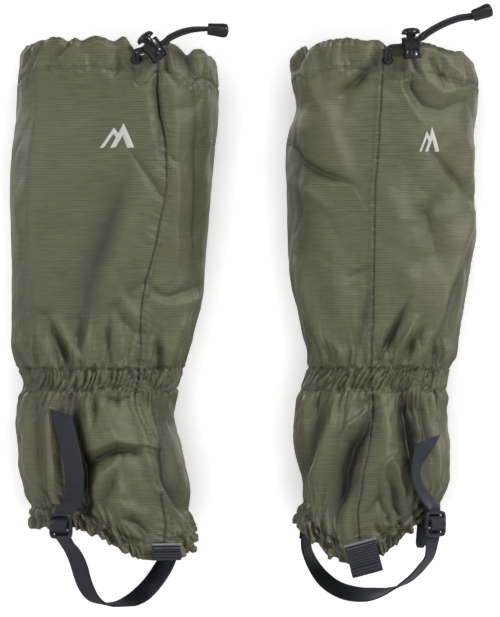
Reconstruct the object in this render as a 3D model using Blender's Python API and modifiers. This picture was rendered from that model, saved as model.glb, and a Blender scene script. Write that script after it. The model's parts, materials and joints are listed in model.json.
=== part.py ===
"""A pair of knee-high hiking gaiters, standing as they are worn.

Units: metres in the file, millimetres in the constants below. +Z is up and
-Y is the front, where the lace hooks are. "Left" is the gaiter at -X, on the
left when seen from the front. Each gaiter is a calf tube and a boot cover of
sewn nylon panels joined at an elastic ankle band, with a drawcord and cord
lock at the top, a rear zip, a hook tab at the toe and a webbing strap with a
ladder-lock buckle that runs under the boot.
"""
import math
from types import SimpleNamespace

import bpy
import bmesh
from mathutils import Matrix, Vector

MM = 0.001
UP = Vector((0, 0, 1))
SHIFT = Vector((3.44, 5.98, 0.0))   # moves the pair so its box is centred
PAIR_SLIDE_AT = Vector((110.0, 0.0, 0.0))

# ---------------------------------------------------------------- leg shape
SECTION_POWER = 2.2        # roundness of the leg section
FLATNESS = 0.68            # depth over width, used to space columns round the leg
FRONT_RADIUS = 60.0        # turns short lengths along the front into angles

# Height, half depth (front to back) of the section.
DEPTH = [(40.0, 55.0), (75.0, 55.0), (98.0, 59.0), (120.0, 60.0), (150.0, 54.0),
         (180.0, 44.0), (191.0, 42.0), (207.0, 42.0), (481.0, 57.0)]
(CALF_LOW, DEPTH_LOW), (CALF_HIGH, DEPTH_HIGH) = DEPTH[-2:]

HEM_LOW, HEM_RISE = 42.0, 34.0      # lower hem at the toe, and its climb

# ------------------------------------------------------------------- fabric
FABRIC_T = 1.0             # coated nylon with its seam turn
FACING_T = 0.8
ELASTIC_T = 1.2
BAND_T = 1.2
SEAM_W, SEAM_T = 5.0, 0.9
SEAM_OFF = 1.45            # front seam strip, measured outwards from the panel
CALF_BOTTOM = 209.0
BOOT_TOP = 179.0
ANKLE_Z = 194.0
BAND_LOW, BAND_HIGH = 182.0, 206.0
ANKLE_ELASTIC_LOW, ANKLE_ELASTIC_HIGH = 186.0, 202.0
PANEL_EDGE = 0.2           # half the gap between panels at the front seam
HEEL_EDGE = 0.3            # half the gap between boot panels at the back
ZIP_EDGE = 4.0             # half the opening the zip is sewn into
FACING_EDGE = 8.0          # half the opening in the top facing at the zip

# ----------------------------------------------------- drawcord and its lock
CORD_OFF = -2.9            # cord in its tunnel, from the panel's surface
CORD_R = 1.6
CORD_SEP = 3.6             # centre distance of the two cord strands
CORD_DROP = 7.5            # cord below the rim
CORD_SPAN = 160.0          # degrees round the leg where each strand starts
CORD_STEPS = 14            # steps of each strand inside the tunnel
CORD_STOP = 4.5            # tunnel run ends this far short of the exit
CORD_BEND = 3.0            # radius of the bends outside the tunnel
CORD_TURN_AT = 7.5         # turn joining the strands, past the end piece's mouth
END_SET = 0.6              # end piece beyond the cord_end point
LOCK_HOLE_Z = 13.1         # cord hole above the bottom of the cord lock
SLOT_L, SLOT_W = 24.0, 4.2  # cord slot through the lock and its plunger
BODY_SLOT_H = 7.9
PLUNGER_SLOT_H, PLUNGER_SLOT_Z = 10.6, 14.35
SPRING_R, SPRING_WIRE_R = 3.1, 0.38
SPRING_Z, SPRING_RISE = 3.3, 3.9
SPRING_STEPS, STEPS_PER_COIL = 22, 10

# Turned profiles: radius, height.
LOCK_BODY = [(0, 2.6), (4.6, 2.6), (4.6, 18.5), (6.6, 18.5), (7.4, 17.5),
             (7.6, 14.0), (6.7, 8.5), (7.0, 3.0), (6.3, 0.6), (5.2, 0.0), (0, 0.0)]
LOCK_PLUNGER = [(0, 26.0), (3.6, 25.8), (6.1, 24.9), (7.0, 23.5), (6.7, 22.3),
                (4.2, 22.0), (4.2, 7.9), (0, 7.9)]
CORD_END = [(0, 17.5), (3.4, 17.2), (5.4, 15.8), (6.0, 13.5), (5.3, 6.0),
            (4.9, 0.4), (4.6, 0.0), (3.9, 0.0), (3.9, 11.6), (0, 11.6)]

# Oval grommet: mean radius, half width and half height of its wire.
GROMMET_R, GROMMET_WIRE_R, GROMMET_WIRE_H = 4.9, 0.95, 1.3
GROMMET_STRETCH = 1.25     # width over height
GROMMET_SEGMENTS, GROMMET_WIRE_SEGMENTS = 18, 6
BORE_R, BORE_L, BORE_STRETCH = 6.25, 12.0, 1.22

# ----------------------------------------------------------------- rear zip
ZIP_LOW, ZIP_HIGH = 216.0, 468.0
# Tape section: sideways from the zip line, outwards from the panel's surface.
ZIP_TAPE = [(0.2, -3.4), (2.4, -3.4), (2.4, -2.7), (14.0, -2.7),
            (14.0, -1.7), (2.4, -1.7), (2.4, -1.0), (0.2, -1.0)]
SLIDER_DROP = 8.0          # slider below the top of the zip
SLIDER_SIZE, SLIDER_OUT = (6.8, 3.8, 13.0), 1.3
BAIL_OUT, BAIL_UP = 5.4, 2.5   # hinge of the pull, from the slider's origin
BAIL_R, BAIL_L = 0.75, 5.2
LUG_SIZE, LUG_X, LUG_OUT = (1.1, 4.6, 3.0), 2.55, 4.6
PULL_EYE_R, PULL_EYE_L = 1.75, 3.4
PULL_HOLE_R, PULL_HOLE_L = 1.1, 12.0
# Parts of the pull below its eye: name, size, height of the centre.
PULL_PARTS = [("pull_neck", (3.2, 1.5, 10.0), -5.9),
              ("pull_plate", (6.4, 1.9, 17.0), -18.0)]

# --------------------------------------------------------- buckle and strap
STRAP_W, STRAP_T = 16.6, 1.4
WEB_W, WEB_T = 16.0, 1.3
BUCKLE = 22.0              # ladder-lock frame, square
BUCKLE_T = 3.4
WINDOW = (17.5, 16.4, 12.0)
BAR_R, BAR_L = 1.5, 19.6
WEB_TURN_R = 2.5           # webbing's turn round the bar
WEB_TURN = 155.0           # degrees each way from straight out
WEB_TURN_STEPS = 8
# Webbing before and after its turn: out from the buckle's plane, up from the bar.
WEB_IN = [(-24.0, 24.0), (-23.4, 5.0), (-21.6, 1.6), (-18.4, 0.75), (-2.5, 0.75)]
WEB_OUT = [(-2.5, -0.75), (-19.4, -0.75), (-23.2, 0.3), (-25.4, 3.8), (-25.9, 24.0)]
# Strap tail threaded through the buckle: out, up.
TAIL_IN_BUCKLE = [(-2.8, -10.8), (-2.8, -7.6), (4.2, -2.0), (4.2, 2.0),
                  (-2.8, 7.6), (-2.8, 12.0)]
TAIL_OFF = 4.2             # tail outside the boot panel
TAIL_TIP = 0.45            # width of the tip over the strap's
STRAP_BACKSET = 2.8        # strap's start behind the buckle's plane
STRAP_END_RISES = [8.2, 7.6, 6.0, 3.4]   # stations of the rounded ends
STRAP_END_FULLNESS = 0.995               # keeps the tip from closing to a point
ANCHOR_Z, ANCHOR_OFF = 58.0, -7.6        # strap's far end, inside the boot panel
ANCHOR_WEB_RISE = 9.6      # anchor webbing's start above the strap's end
ANCHOR_WEB_HEIGHTS, ANCHOR_WEB_OFF = (70.0, 80.0, 90.0, 98.0), -8.6

# ----------------------------------------------------------------- hook tab
TAB_W, TAB_T = 27.0, 1.4
# Fold at the tab's foot: out, height above the foot.
TAB_FOLD = [(0.0, 1.0), (0.35, 0.0), (1.05, -0.3), (1.75, 0.0), (2.1, 1.0), (2.1, 5.5)]
HOOK_W, HOOK_T, HOOK_TURN_R = 12.0, 0.8, 2.0
HOOK_BACKSET = 1.7         # hook plate behind the tab
HOOK_TOP = 1.6
HOOK_TURN_Z = 0.5          # centre of the hook's turn above the tab's foot
HOOK_TIP = (-5.9, 3.4)     # out, height above the tab's foot

# ------------------------------------------------------------- the gaiters
# out         sign of X on the outer side
# toe         angle of the hem's lowest point; hem_rate sets how fast it climbs
# rim         mean height, and fall towards +X
# section     height, centre x, half width
# seam        height, x of the front seam
# cord_exit, cord_mid   x, z of the grommet and of the cord before the lock
# lock        point midway between the strands in the cord lock
# cord_run    further points between the lock and cord_end
# *_turn      degrees from facing the front towards +X
# anchor_x    strap's inner rear end, sideways from the section's centre
# loop        distance under the boot from the buckle, height
# tail        x, z of the strap tail on the boot panel
# tab         x, z on the boot panel; tab_gap is the tab's distance out from it
LEFT = {
    "prefix": "left_", "root": None, "out": -1.0,
    "toe": 38.0, "hem_rate": 0.55, "rim": (478.0, 5.0),
    "section": [(40, -117.5, 70.0), (72, -120.4, 68.8), (98, -124.3, 71.8),
                (119, -128.6, 72.7), (139, -131.2, 71.0), (160, -133.6, 69.2),
                (180, -131.0, 68.4), (195, -130.6, 68.8), (207, -130.0, 72.5),
                (232, -128.6, 78.6), (263, -126.9, 82.6), (300, -124.9, 84.3),
                (356, -121.8, 87.0), (418, -118.4, 87.7), (481, -115.0, 84.3)],
    "seam": [(42, -71.4), (80, -72.0), (106, -80.6), (126, -85.6),
             (151, -90.6), (181, -96.9), (224, -94.1), (275, -91.2),
             (323, -80.0), (360, -73.4), (393, -72.7), (424, -79.1), (481, -79.1)],
    "cord_exit": (-97.2, 467.6), "cord_mid": (-97.5, 475.2),
    "lock": (-86.4, -67.0, 482.5), "cord_tilt": 20.0,
    "cord_run": [(-50.0, -65.0, 494.6)], "cord_end": (-38.5, -64.0, 495.2),
    "cord_end_dir": (1.0, 0.0, -0.14),
    "buckle": (-163.0, -59.0, 70.5), "buckle_turn": -36.0, "anchor_x": 54.0,
    "loop": [(0.0, 50.1), (0.5, 44.0), (3.5, 37.0), (10.0, 30.5),
             (18.5, 24.0), (26.0, 16.5), (35.0, 8.6), (46.0, 3.2),
             (60.0, 0.7), (74.0, 0.7), (88.0, 4.2), (101.0, 12.5),
             (112.5, 24.0), (121.0, 35.0), (126.5, 44.0), (128.6, 50.1)],
    "tail": [(-155.7, 95.5), (-154.6, 112.0), (-156.5, 128.0),
             (-160.0, 144.5), (-163.4, 159.5), (-165.5, 168.0)],
    "tab": (-73.5, 57.5), "tab_turn": 27.0, "tab_roll": 0.0,
    "tab_len": 19.0, "tab_gap": 6.8,
}

RIGHT = {
    "prefix": "right_", "root": "pair_slide", "out": 1.0,
    "toe": -11.0, "hem_rate": 0.40, "rim": (478.5, 4.0),
    "section": [(40, 98.9, 61.0), (72, 98.9, 63.6), (88, 101.5, 61.8),
                (103, 105.0, 62.8), (119, 104.9, 65.4), (139, 103.4, 67.3),
                (160, 103.2, 66.7), (180, 106.0, 64.9), (195, 109.4, 63.2),
                (207, 110.6, 63.4), (232, 110.4, 67.9), (263, 110.4, 74.4),
                (294, 110.3, 79.1), (356, 110.4, 81.0), (418, 111.4, 79.8),
                (481, 112.5, 80.0)],
    "seam": [(42, 89.9), (83, 88.6), (102, 91.2), (131, 97.8), (175, 103.7),
             (222, 101.7), (287, 103.0), (351, 104.3), (402, 109.0),
             (447, 112.2), (481, 114.8)],
    "cord_exit": (124.8, 467.6), "cord_mid": (125.4, 474.6),
    "lock": (137.5, -67.5, 482.5), "cord_tilt": 19.0,
    "cord_run": [(166.5, -66.0, 493.4), (176.0, -65.0, 499.2)],
    "cord_end": (184.9, -64.0, 503.2), "cord_end_dir": (1.0, 0.0, 0.36),
    "buckle": (156.5, -46.0, 72.0), "buckle_turn": 43.0, "anchor_x": -58.0,
    "loop": [(0.0, 51.6), (0.6, 45.0), (5.0, 38.0), (13.0, 30.5),
             (23.0, 23.0), (35.0, 15.5), (49.0, 9.2), (63.0, 6.3),
             (77.0, 6.3), (91.0, 8.8), (103.0, 14.5), (112.5, 23.0),
             (119.5, 33.0), (124.5, 43.0), (126.3, 51.6)],
    "tail": [(150.0, 94.0), (143.0, 108.0), (138.5, 123.0),
             (141.0, 138.0), (147.0, 151.0)],
    "tab": (92.9, 54.2), "tab_turn": -6.0, "tab_roll": 15.0,
    "tab_len": 25.0, "tab_gap": 5.2,
}

# Base colour, roughness, metallic.
MATERIALS = {
    "nylon": ((0.115, 0.112, 0.068), 0.55, 0.0),
    "nylon_dark": ((0.075, 0.075, 0.050), 0.65, 0.0),
    "webbing": ((0.022, 0.024, 0.034), 0.70, 0.0),
    "cord": ((0.020, 0.020, 0.022), 0.75, 0.0),
    "plastic": ((0.014, 0.014, 0.016), 0.35, 0.0),
    "elastic": ((0.030, 0.030, 0.030), 0.80, 0.0),
    "metal": ((0.42, 0.42, 0.44), 0.30, 1.0),
    "zip": ((0.030, 0.032, 0.026), 0.60, 0.0),
}

# ------------------------------------------------------------------ scene
for old in list(bpy.data.objects):
    bpy.data.objects.remove(old, do_unlink=True)

PARTS = bpy.data.collections.new("gaiters")
CUTTERS = bpy.data.collections.new("cutters")
for collection in (PARTS, CUTTERS):
    bpy.context.scene.collection.children.link(collection)

PIVOTS = {}          # name -> (empty, its place in mm before SHIFT)


def material(name, kind):
    """Give each piece its own Principled material of one kind."""
    colour, roughness, metallic = MATERIALS[kind]
    mat = bpy.data.materials.new(name + "_" + kind)
    mat.use_nodes = True
    shader = mat.node_tree.nodes["Principled BSDF"]
    shader.inputs["Base Color"].default_value = colour + (1.0,)
    shader.inputs["Roughness"].default_value = roughness
    shader.inputs["Metallic"].default_value = metallic
    return mat


def place(obj, origin, parent):
    """Link a part at origin (mm), under a named pivot if there is one."""
    PARTS.objects.link(obj)
    base = -SHIFT
    if parent:
        obj.parent, base = PIVOTS[parent]
    obj.location = (origin - base) * MM


def pivot(name, origin, parent=None):
    """An empty on a joint axis; moving pieces are parented to it."""
    empty = bpy.data.objects.new(name, None)
    empty.empty_display_size = 0.02
    place(empty, origin, parent)
    PIVOTS[name] = (empty, origin.copy())


def piece(name, data, kind, parent, origin, rot=None):
    """A visible piece from a mesh or curve, with its material."""
    data.name = name
    obj = bpy.data.objects.new(name, data)
    place(obj, origin, parent)
    if rot is not None:
        obj.rotation_euler = rot.to_euler()
    data.materials.append(material(name, kind))
    return obj


def combine(obj, name, mesh, origin, rot, operation="DIFFERENCE"):
    """Cut a hidden helper solid from obj, or join it with UNION."""
    mesh.name = name
    helper = bpy.data.objects.new(name, mesh)
    CUTTERS.objects.link(helper)
    helper.matrix_world = Matrix.Translation((origin + SHIFT) * MM) @ rot.to_4x4()
    helper.hide_render = True
    helper.display_type = "WIRE"
    mod = obj.modifiers.new(operation.title() + "_" + name, "BOOLEAN")
    mod.operation = operation
    mod.solver = "EXACT"
    mod.object = helper


def bevel(obj, width):
    mod = obj.modifiers.new("Edges", "BEVEL")
    mod.width = width * MM
    mod.segments = 1


# ---------------------------------------------------------------- leg maths
def interpolate(rows, z, column=1):
    """Value of a column at height z, held constant beyond the ends."""
    if z <= rows[0][0]:
        return float(rows[0][column])
    for a, b in zip(rows, rows[1:]):
        if z <= b[0]:
            t = (z - a[0]) / (b[0] - a[0])
            return a[column] + (b[column] - a[column]) * t
    return float(rows[-1][column])


def surface(gaiter, z, ang, off=0.0):
    """Point on the panels' surface, moved out by off, and its outward normal.

    ang 0 is the front and +90 degrees is +X.
    """
    section = gaiter["section"]
    half_width = interpolate(section, z, 2)
    if z < CALF_LOW:
        centre = interpolate(section, z)
        depth = interpolate(DEPTH, z)
    else:                     # straight lines that carry on above the table
        low, high = interpolate(section, CALF_LOW), interpolate(section, CALF_HIGH)
        t = (z - CALF_LOW) / (CALF_HIGH - CALF_LOW)
        centre = low + (high - low) * t
        depth = DEPTH_LOW + (DEPTH_HIGH - DEPTH_LOW) * t
    power = SECTION_POWER
    radius = (abs(math.sin(ang) / half_width) ** power
              + abs(math.cos(ang) / depth) ** power) ** (-1.0 / power)
    x, y = radius * math.sin(ang), -radius * math.cos(ang)
    normal = Vector((math.copysign(abs(x) ** (power - 1) / half_width ** power, x),
                     math.copysign(abs(y) ** (power - 1) / depth ** power, y),
                     0.0)).normalized()
    return Vector((centre + x, y, z)) + normal * off, normal


def angle_at_x(gaiter, z, x):
    """Front-side angle at which the surface has the given x."""
    low, high = math.radians(-88), math.radians(88)
    for _ in range(40):
        middle = 0.5 * (low + high)
        if surface(gaiter, z, middle)[0].x < x:
            low = middle
        else:
            high = middle
    return 0.5 * (low + high)


def seam_angle(gaiter, z):
    return angle_at_x(gaiter, z, interpolate(gaiter["seam"], z))


def spread(t):
    """Even steps of t give evenly flat facets round the wide section."""
    return math.atan2(math.sin(t), FLATNESS * math.cos(t))


def gather(ang):
    """The inverse of spread."""
    return math.atan2(FLATNESS * math.sin(ang), math.cos(ang))


def between(start, stop, t):
    """Angle a fraction t of the way from start to stop, evenly spread."""
    first, last = gather(start), gather(stop)
    return spread(first + (last - first) * t)


def rim_z(gaiter, ang):
    height, fall = gaiter["rim"]
    return height - fall * math.sin(ang)


def hem_z(gaiter, ang):
    """Lower hem: low over the toe, higher at the sides and heel."""
    away = 1.0 - math.cos(ang - math.radians(gaiter["toe"]))
    t = min(1.0, away / gaiter["hem_rate"])
    return HEM_LOW + HEM_RISE * t * (1.2 - 0.2 * t)


def facing(turn):
    """Level direction turned by degrees from the front towards +X."""
    return Vector((math.sin(math.radians(turn)), -math.cos(math.radians(turn)), 0))


def basis(x_axis, y_axis, z_axis):
    return Matrix((x_axis, y_axis, z_axis)).transposed()


class Frame:
    """Origin with across, up and out axes; roll tips across upwards."""

    def __init__(self, origin, out, roll=0.0):
        level = UP.cross(out).normalized()
        r = math.radians(roll)
        self.origin = origin
        self.out = out
        self.across = level * math.cos(r) + UP * math.sin(r)
        self.up = UP * math.cos(r) - level * math.sin(r)

    def stations(self, outline, width):
        """Ribbon stations along an outline of (out, up) points."""
        return [(self.origin + self.up * up + self.out * out, self.across, width / 2)
                for out, up in outline]


# ---------------------------------------------------------------- builders
def to_mesh(bm):
    mesh = bpy.data.meshes.new("mesh")
    bm.to_mesh(mesh)
    bm.free()
    return mesh


def sheet(name, rows, thick, kind, parent, closed=False, origin=None):
    """Open grid of points made solid; closed joins the ends of each row."""
    origin = origin or Vector((0, 0, 0))
    bm = bmesh.new()
    grid = [[bm.verts.new((p - origin) * MM) for p in row] for row in rows]
    for lower, upper in zip(grid, grid[1:]):
        count = len(lower)
        for i in range(count if closed else count - 1):
            j = (i + 1) % count
            bm.faces.new((lower[i], lower[j], upper[j], upper[i]))
    mesh = to_mesh(bm)
    mesh.shade_smooth()
    solid = piece(name, mesh, kind, parent, origin).modifiers.new("Thickness", "SOLIDIFY")
    solid.thickness = thick * MM
    solid.offset = 0.0
    solid.use_even_offset = True


def ribbon(name, stations, thick, kind, parent, origin=None):
    """Flat strip; stations are (centre, width direction, half width)."""
    rows = [[centre - across * half, centre + across * half]
            for centre, across, half in stations]
    sheet(name, rows, thick, kind, parent, origin=origin)


def panel(gaiter, name, low, high, turn, rear_gap, rows, parent, columns=15):
    """One fabric panel from the front seam round one side to the back.

    low and high give the edge heights at an angle; turn is the side's X sign.
    """
    grid = []
    for i in range(rows + 1):
        row = []
        for j in range(columns + 1):
            z = 300.0
            for _ in range(3):      # height and angle depend on each other
                start = seam_angle(gaiter, z) + turn * PANEL_EDGE / FRONT_RADIUS
                stop = turn * (math.pi - rear_gap / interpolate(DEPTH, z))
                ang = between(start, stop, j / columns)
                z = low(ang) + (high(ang) - low(ang)) * i / rows
            row.append(surface(gaiter, z, ang)[0])
        grid.append(row if turn > 0 else row[::-1])
    sheet(name, grid, FABRIC_T, "nylon", parent)


def ring(gaiter, name, edge, low, high, off, thick, kind, parent, columns=26, gap=0.0):
    """A band from low to high above an edge; gap is half its rear opening angle."""
    closed = gap == 0.0
    half = gather(math.pi - gap)
    angles = [spread(-half + 2 * half * j / columns)
              for j in range(columns if closed else columns + 1)]
    rows = [[surface(gaiter, edge(ang) + height, ang, off)[0] for ang in angles]
            for height in (low, high)]
    sheet(name, rows, thick, kind, parent, closed)


def seam_strip(gaiter, name, low, high, count, parent):
    stations = []
    for i in range(count + 1):
        z = low + (high - low) * i / count
        point, normal = surface(gaiter, z, seam_angle(gaiter, z), SEAM_OFF)
        stations.append((point, UP.cross(normal), SEAM_W / 2))
    ribbon(name, stations, SEAM_T, "nylon_dark", parent)


def rounded(points, radius, steps):
    """Polyline with its corners rounded to about the given radius."""
    path = [points[0]]
    for before, corner, after in zip(points, points[1:], points[2:]):
        back, ahead = before - corner, after - corner
        turn = math.pi - back.angle(ahead)
        if turn < 0.05:
            path.append(corner)
            continue
        cut = min(radius * math.tan(turn / 2), 0.45 * back.length, 0.45 * ahead.length)
        start = corner + back.normalized() * cut
        stop = corner + ahead.normalized() * cut
        for k in range(steps + 1):
            t = k / steps
            path.append(start * (1 - t) ** 2 + corner * 2 * t * (1 - t) + stop * t * t)
    path.append(points[-1])
    return path


def poly_curve(points, dimensions):
    curve = bpy.data.curves.new("curve", "CURVE")
    curve.dimensions = dimensions
    spline = curve.splines.new("POLY")
    spline.points.add(len(points) - 1)
    for target, p in zip(spline.points, points):
        target.co = (*(p * MM), 1.0)
    return curve


def tube(name, points, radius, kind, parent, origin, resolution, rot=None):
    """Round wire or cord along a polyline in local mm, capped at both ends."""
    curve = poly_curve(points, "3D")
    curve.bevel_depth = radius * MM
    curve.bevel_resolution = resolution
    curve.use_fill_caps = True
    piece(name, curve, kind, parent, origin, rot)


def lathe(name, profile, steps, parent, origin, rot):
    """Plastic piece turned from a (radius, height) profile about local Z."""
    bm = bmesh.new()
    verts = [bm.verts.new((r * MM, 0.0, z * MM)) for r, z in profile]
    for a, b in zip(verts, verts[1:]):
        bm.edges.new((a, b))
    obj = piece(name, to_mesh(bm), "plastic", parent, origin, rot)
    screw = obj.modifiers.new("Turn", "SCREW")
    screw.axis = "Z"
    screw.steps = screw.render_steps = steps
    screw.use_merge_vertices = True
    screw.merge_threshold = 0.00002
    screw.use_smooth_shade = True
    return obj


def box_mesh(size, centre=(0, 0, 0)):
    bm = bmesh.new()
    bmesh.ops.create_cube(bm, size=1.0)
    bmesh.ops.scale(bm, vec=Vector(size) * MM, verts=bm.verts)
    bmesh.ops.translate(bm, vec=Vector(centre) * MM, verts=bm.verts)
    return to_mesh(bm)


def rod_mesh(radius, length, segments, axis="X", centre=(0, 0, 0)):
    """Cylinder along local X or Z."""
    bm = bmesh.new()
    bmesh.ops.create_cone(bm, cap_ends=True, segments=segments, radius1=radius * MM,
                          radius2=radius * MM, depth=length * MM)
    if axis == "X":
        bmesh.ops.rotate(bm, verts=bm.verts, matrix=Matrix.Rotation(math.pi / 2, 3, "Y"))
    bmesh.ops.translate(bm, vec=Vector(centre) * MM, verts=bm.verts)
    return to_mesh(bm)


# ------------------------------------------------------------------ fabric
def fabric(gaiter):
    """Panels, front seams, facings, ankle band and elastics."""
    prefix, root, out = gaiter["prefix"], gaiter["root"], gaiter["out"]
    calf = prefix + "ankle_flex"

    def rim(ang):
        return rim_z(gaiter, ang)

    def hem(ang):
        return hem_z(gaiter, ang)

    def ground(_ang):
        return 0.0

    for part, low, high, rear_gap, rows, parent in (
            ("calf", lambda ang: CALF_BOTTOM, rim, ZIP_EDGE, 7, calf),
            ("boot", hem, lambda ang: BOOT_TOP, HEEL_EDGE, 6, root)):
        for side, turn in (("outer", out), ("inner", -out)):
            panel(gaiter, "%s%s_%s_panel" % (prefix, part, side), low, high, turn,
                  rear_gap, rows, parent)
    seam_strip(gaiter, prefix + "calf_front_seam", CALF_BOTTOM + 1,
               gaiter["rim"][0] - 6, 9, calf)
    seam_strip(gaiter, prefix + "boot_front_seam", 64.0, BOOT_TOP - 1, 5, root)
    ring(gaiter, prefix + "top_hem_facing", rim, -26, -1, off=-6.7, thick=FACING_T,
         kind="nylon_dark", parent=calf, gap=FACING_EDGE / DEPTH_HIGH)
    ring(gaiter, prefix + "ankle_band", ground, BAND_LOW, BAND_HIGH, off=0.0,
         thick=BAND_T, kind="nylon", parent=root)
    ring(gaiter, prefix + "ankle_elastic", ground, ANKLE_ELASTIC_LOW,
         ANKLE_ELASTIC_HIGH, off=-2.8, thick=ELASTIC_T, kind="elastic", parent=root)
    ring(gaiter, prefix + "bottom_hem_facing", hem, 1, 16, off=-5.0, thick=FACING_T,
         kind="nylon_dark", parent=root, columns=28)
    ring(gaiter, prefix + "hem_elastic", hem, 4, 13, off=-2.6, thick=ELASTIC_T,
         kind="elastic", parent=root, columns=28)


# ---------------------------------------------------------------- drawcord
def cord_layout(gaiter):
    """Places and directions shared by the drawcord, grommet, lock and end."""
    exit_x, exit_z = gaiter["cord_exit"]
    exit_ang = angle_at_x(gaiter, exit_z, exit_x)
    exit_at, exit_out = surface(gaiter, exit_z, exit_ang)
    tilt = math.radians(gaiter["cord_tilt"])
    end_dir = Vector(gaiter["cord_end_dir"]).normalized()
    return SimpleNamespace(
        exit_z=exit_z, exit_ang=exit_ang, exit_at=exit_at, exit_out=exit_out,
        across=UP.cross(exit_out).normalized(),                   # towards +X
        lock=Vector(gaiter["lock"]),
        run=Vector((math.cos(tilt), 0.0, math.sin(tilt))),        # cord in the lock
        up=Vector((-math.sin(tilt), 0.0, math.cos(tilt))),        # lock's own axis
        end=Vector(gaiter["cord_end"]),
        end_dir=end_dir,
        end_up=Vector((-end_dir.z, 0, end_dir.x)))


def strand(gaiter, cord, sign):
    """One strand; sign -1 comes from -X in the tunnel and lies on top in the lock."""
    half = CORD_SEP / 2
    start = sign * math.radians(CORD_SPAN)
    stop = cord.exit_ang + sign * CORD_STOP / FRONT_RADIUS
    tunnel = []
    for k in range(CORD_STEPS + 1):
        t = k / CORD_STEPS
        ang = between(start, stop, t)
        z = rim_z(gaiter, ang) - CORD_DROP
        tunnel.append(surface(gaiter, z + (cord.exit_z - z) * t ** 3, ang, CORD_OFF)[0])

    def offset(quarter, up):
        """The pair turns a quarter from side by side to one above another."""
        th = math.radians(180.0 if sign < 0 else 0.0) - math.radians(90) * quarter
        return cord.across * half * math.cos(th) + up * half * math.sin(th)

    mid_x, mid_z = gaiter["cord_mid"]
    mid = Vector((mid_x, (cord.exit_at.y + cord.lock.y) / 2 - 1.0, mid_z))
    free = [tunnel[-1],
            cord.exit_at + cord.across * sign * half + cord.exit_out * CORD_OFF,
            cord.exit_at + cord.exit_out * 3.4 + offset(0.0, cord.up),
            mid + offset(0.55, cord.up),
            cord.lock - cord.run * 10.0 + offset(1.0, cord.up),
            cord.lock + cord.run * 29.0 + offset(1.0, cord.up)]
    mean_up = (cord.up + cord.end_up).normalized()
    free += [Vector(p) + offset(1.0, mean_up) for p in gaiter["cord_run"]]
    free += [cord.end + offset(1.0, cord.end_up),
             cord.end + cord.end_dir * CORD_TURN_AT + offset(1.0, cord.end_up)]
    return tunnel[:-1] + rounded(free, CORD_BEND, 3)


def drawcord(gaiter, cord, origin):
    """One cord: out along the top strand, round a half turn and back."""
    turn = []
    for k in range(1, 6):
        th = math.pi / 2 - math.pi * k / 6
        turn.append(cord.end
                    + cord.end_dir * (CORD_TURN_AT + CORD_SEP / 2 * math.cos(th))
                    + cord.end_up * CORD_SEP / 2 * math.sin(th))
    path = strand(gaiter, cord, -1.0) + turn + strand(gaiter, cord, 1.0)[::-1]
    prefix = gaiter["prefix"]
    tube(prefix + "drawcord", [p - origin for p in path], CORD_R, "cord",
         prefix + "ankle_flex", origin, resolution=1)


def grommet(gaiter, cord):
    """Oval grommet where both strands leave the tunnel, and its hole."""
    prefix = gaiter["prefix"]
    rot = basis(cord.across, UP, cord.across.cross(UP))
    bm = bmesh.new()
    loops = []
    for i in range(GROMMET_SEGMENTS):
        a = 2 * math.pi * i / GROMMET_SEGMENTS
        loop = []
        for j in range(GROMMET_WIRE_SEGMENTS):
            b = 2 * math.pi * j / GROMMET_WIRE_SEGMENTS
            radius = GROMMET_R + GROMMET_WIRE_R * math.cos(b)
            loop.append(bm.verts.new(Vector((
                radius * GROMMET_STRETCH * math.cos(a), radius * math.sin(a),
                GROMMET_WIRE_H * math.sin(b))) * MM))
        loops.append(loop)
    for i, loop in enumerate(loops):
        following = loops[(i + 1) % GROMMET_SEGMENTS]
        for j in range(GROMMET_WIRE_SEGMENTS):
            k = (j + 1) % GROMMET_WIRE_SEGMENTS
            bm.faces.new((loop[j], following[j], following[k], loop[k]))
    mesh = to_mesh(bm)
    mesh.shade_smooth()
    piece(prefix + "cord_exit_grommet", mesh, "plastic", prefix + "ankle_flex",
          cord.exit_at, rot)

    bore = rod_mesh(BORE_R, BORE_L, 24, axis="Z")
    for vert in bore.vertices:
        vert.co.x *= BORE_STRETCH
    past_seam = cord.exit_ang - seam_angle(gaiter, cord.exit_z)
    side = "outer" if past_seam * gaiter["out"] > 0 else "inner"
    combine(bpy.data.objects["%scalf_%s_panel" % (prefix, side)],
            prefix + "grommet_cut", bore, cord.exit_at, rot)


def cord_lock(gaiter, cord):
    """Barrel lock: cup body, plunger and coil spring."""
    prefix = gaiter["prefix"]
    slide, press = prefix + "cord_lock_slide", prefix + "plunger_press"
    rot = basis(cord.run, cord.up.cross(cord.run), cord.up)
    base = cord.lock - cord.up * LOCK_HOLE_Z
    pivot(slide, base, prefix + "ankle_flex")
    pivot(press, base, slide)
    body = lathe(prefix + "cord_lock_body", LOCK_BODY, 20, slide, base, rot)
    combine(body, prefix + "lock_cut",
            box_mesh((SLOT_L, SLOT_W, BODY_SLOT_H), (0, 0, LOCK_HOLE_Z)), base, rot)
    plunger = lathe(prefix + "cord_lock_plunger", LOCK_PLUNGER, 18, press, base, rot)
    combine(plunger, prefix + "plunger_cut",
            box_mesh((SLOT_L, SLOT_W, PLUNGER_SLOT_H), (0, 0, PLUNGER_SLOT_Z)), base, rot)
    coil = []
    for k in range(SPRING_STEPS + 1):
        a = 2 * math.pi * k / STEPS_PER_COIL
        coil.append(Vector((SPRING_R * math.cos(a), SPRING_R * math.sin(a),
                            SPRING_Z + SPRING_RISE * k / SPRING_STEPS)))
    tube(prefix + "cord_lock_spring", coil, SPRING_WIRE_R, "metal", slide, base,
         resolution=0, rot=rot)


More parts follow.
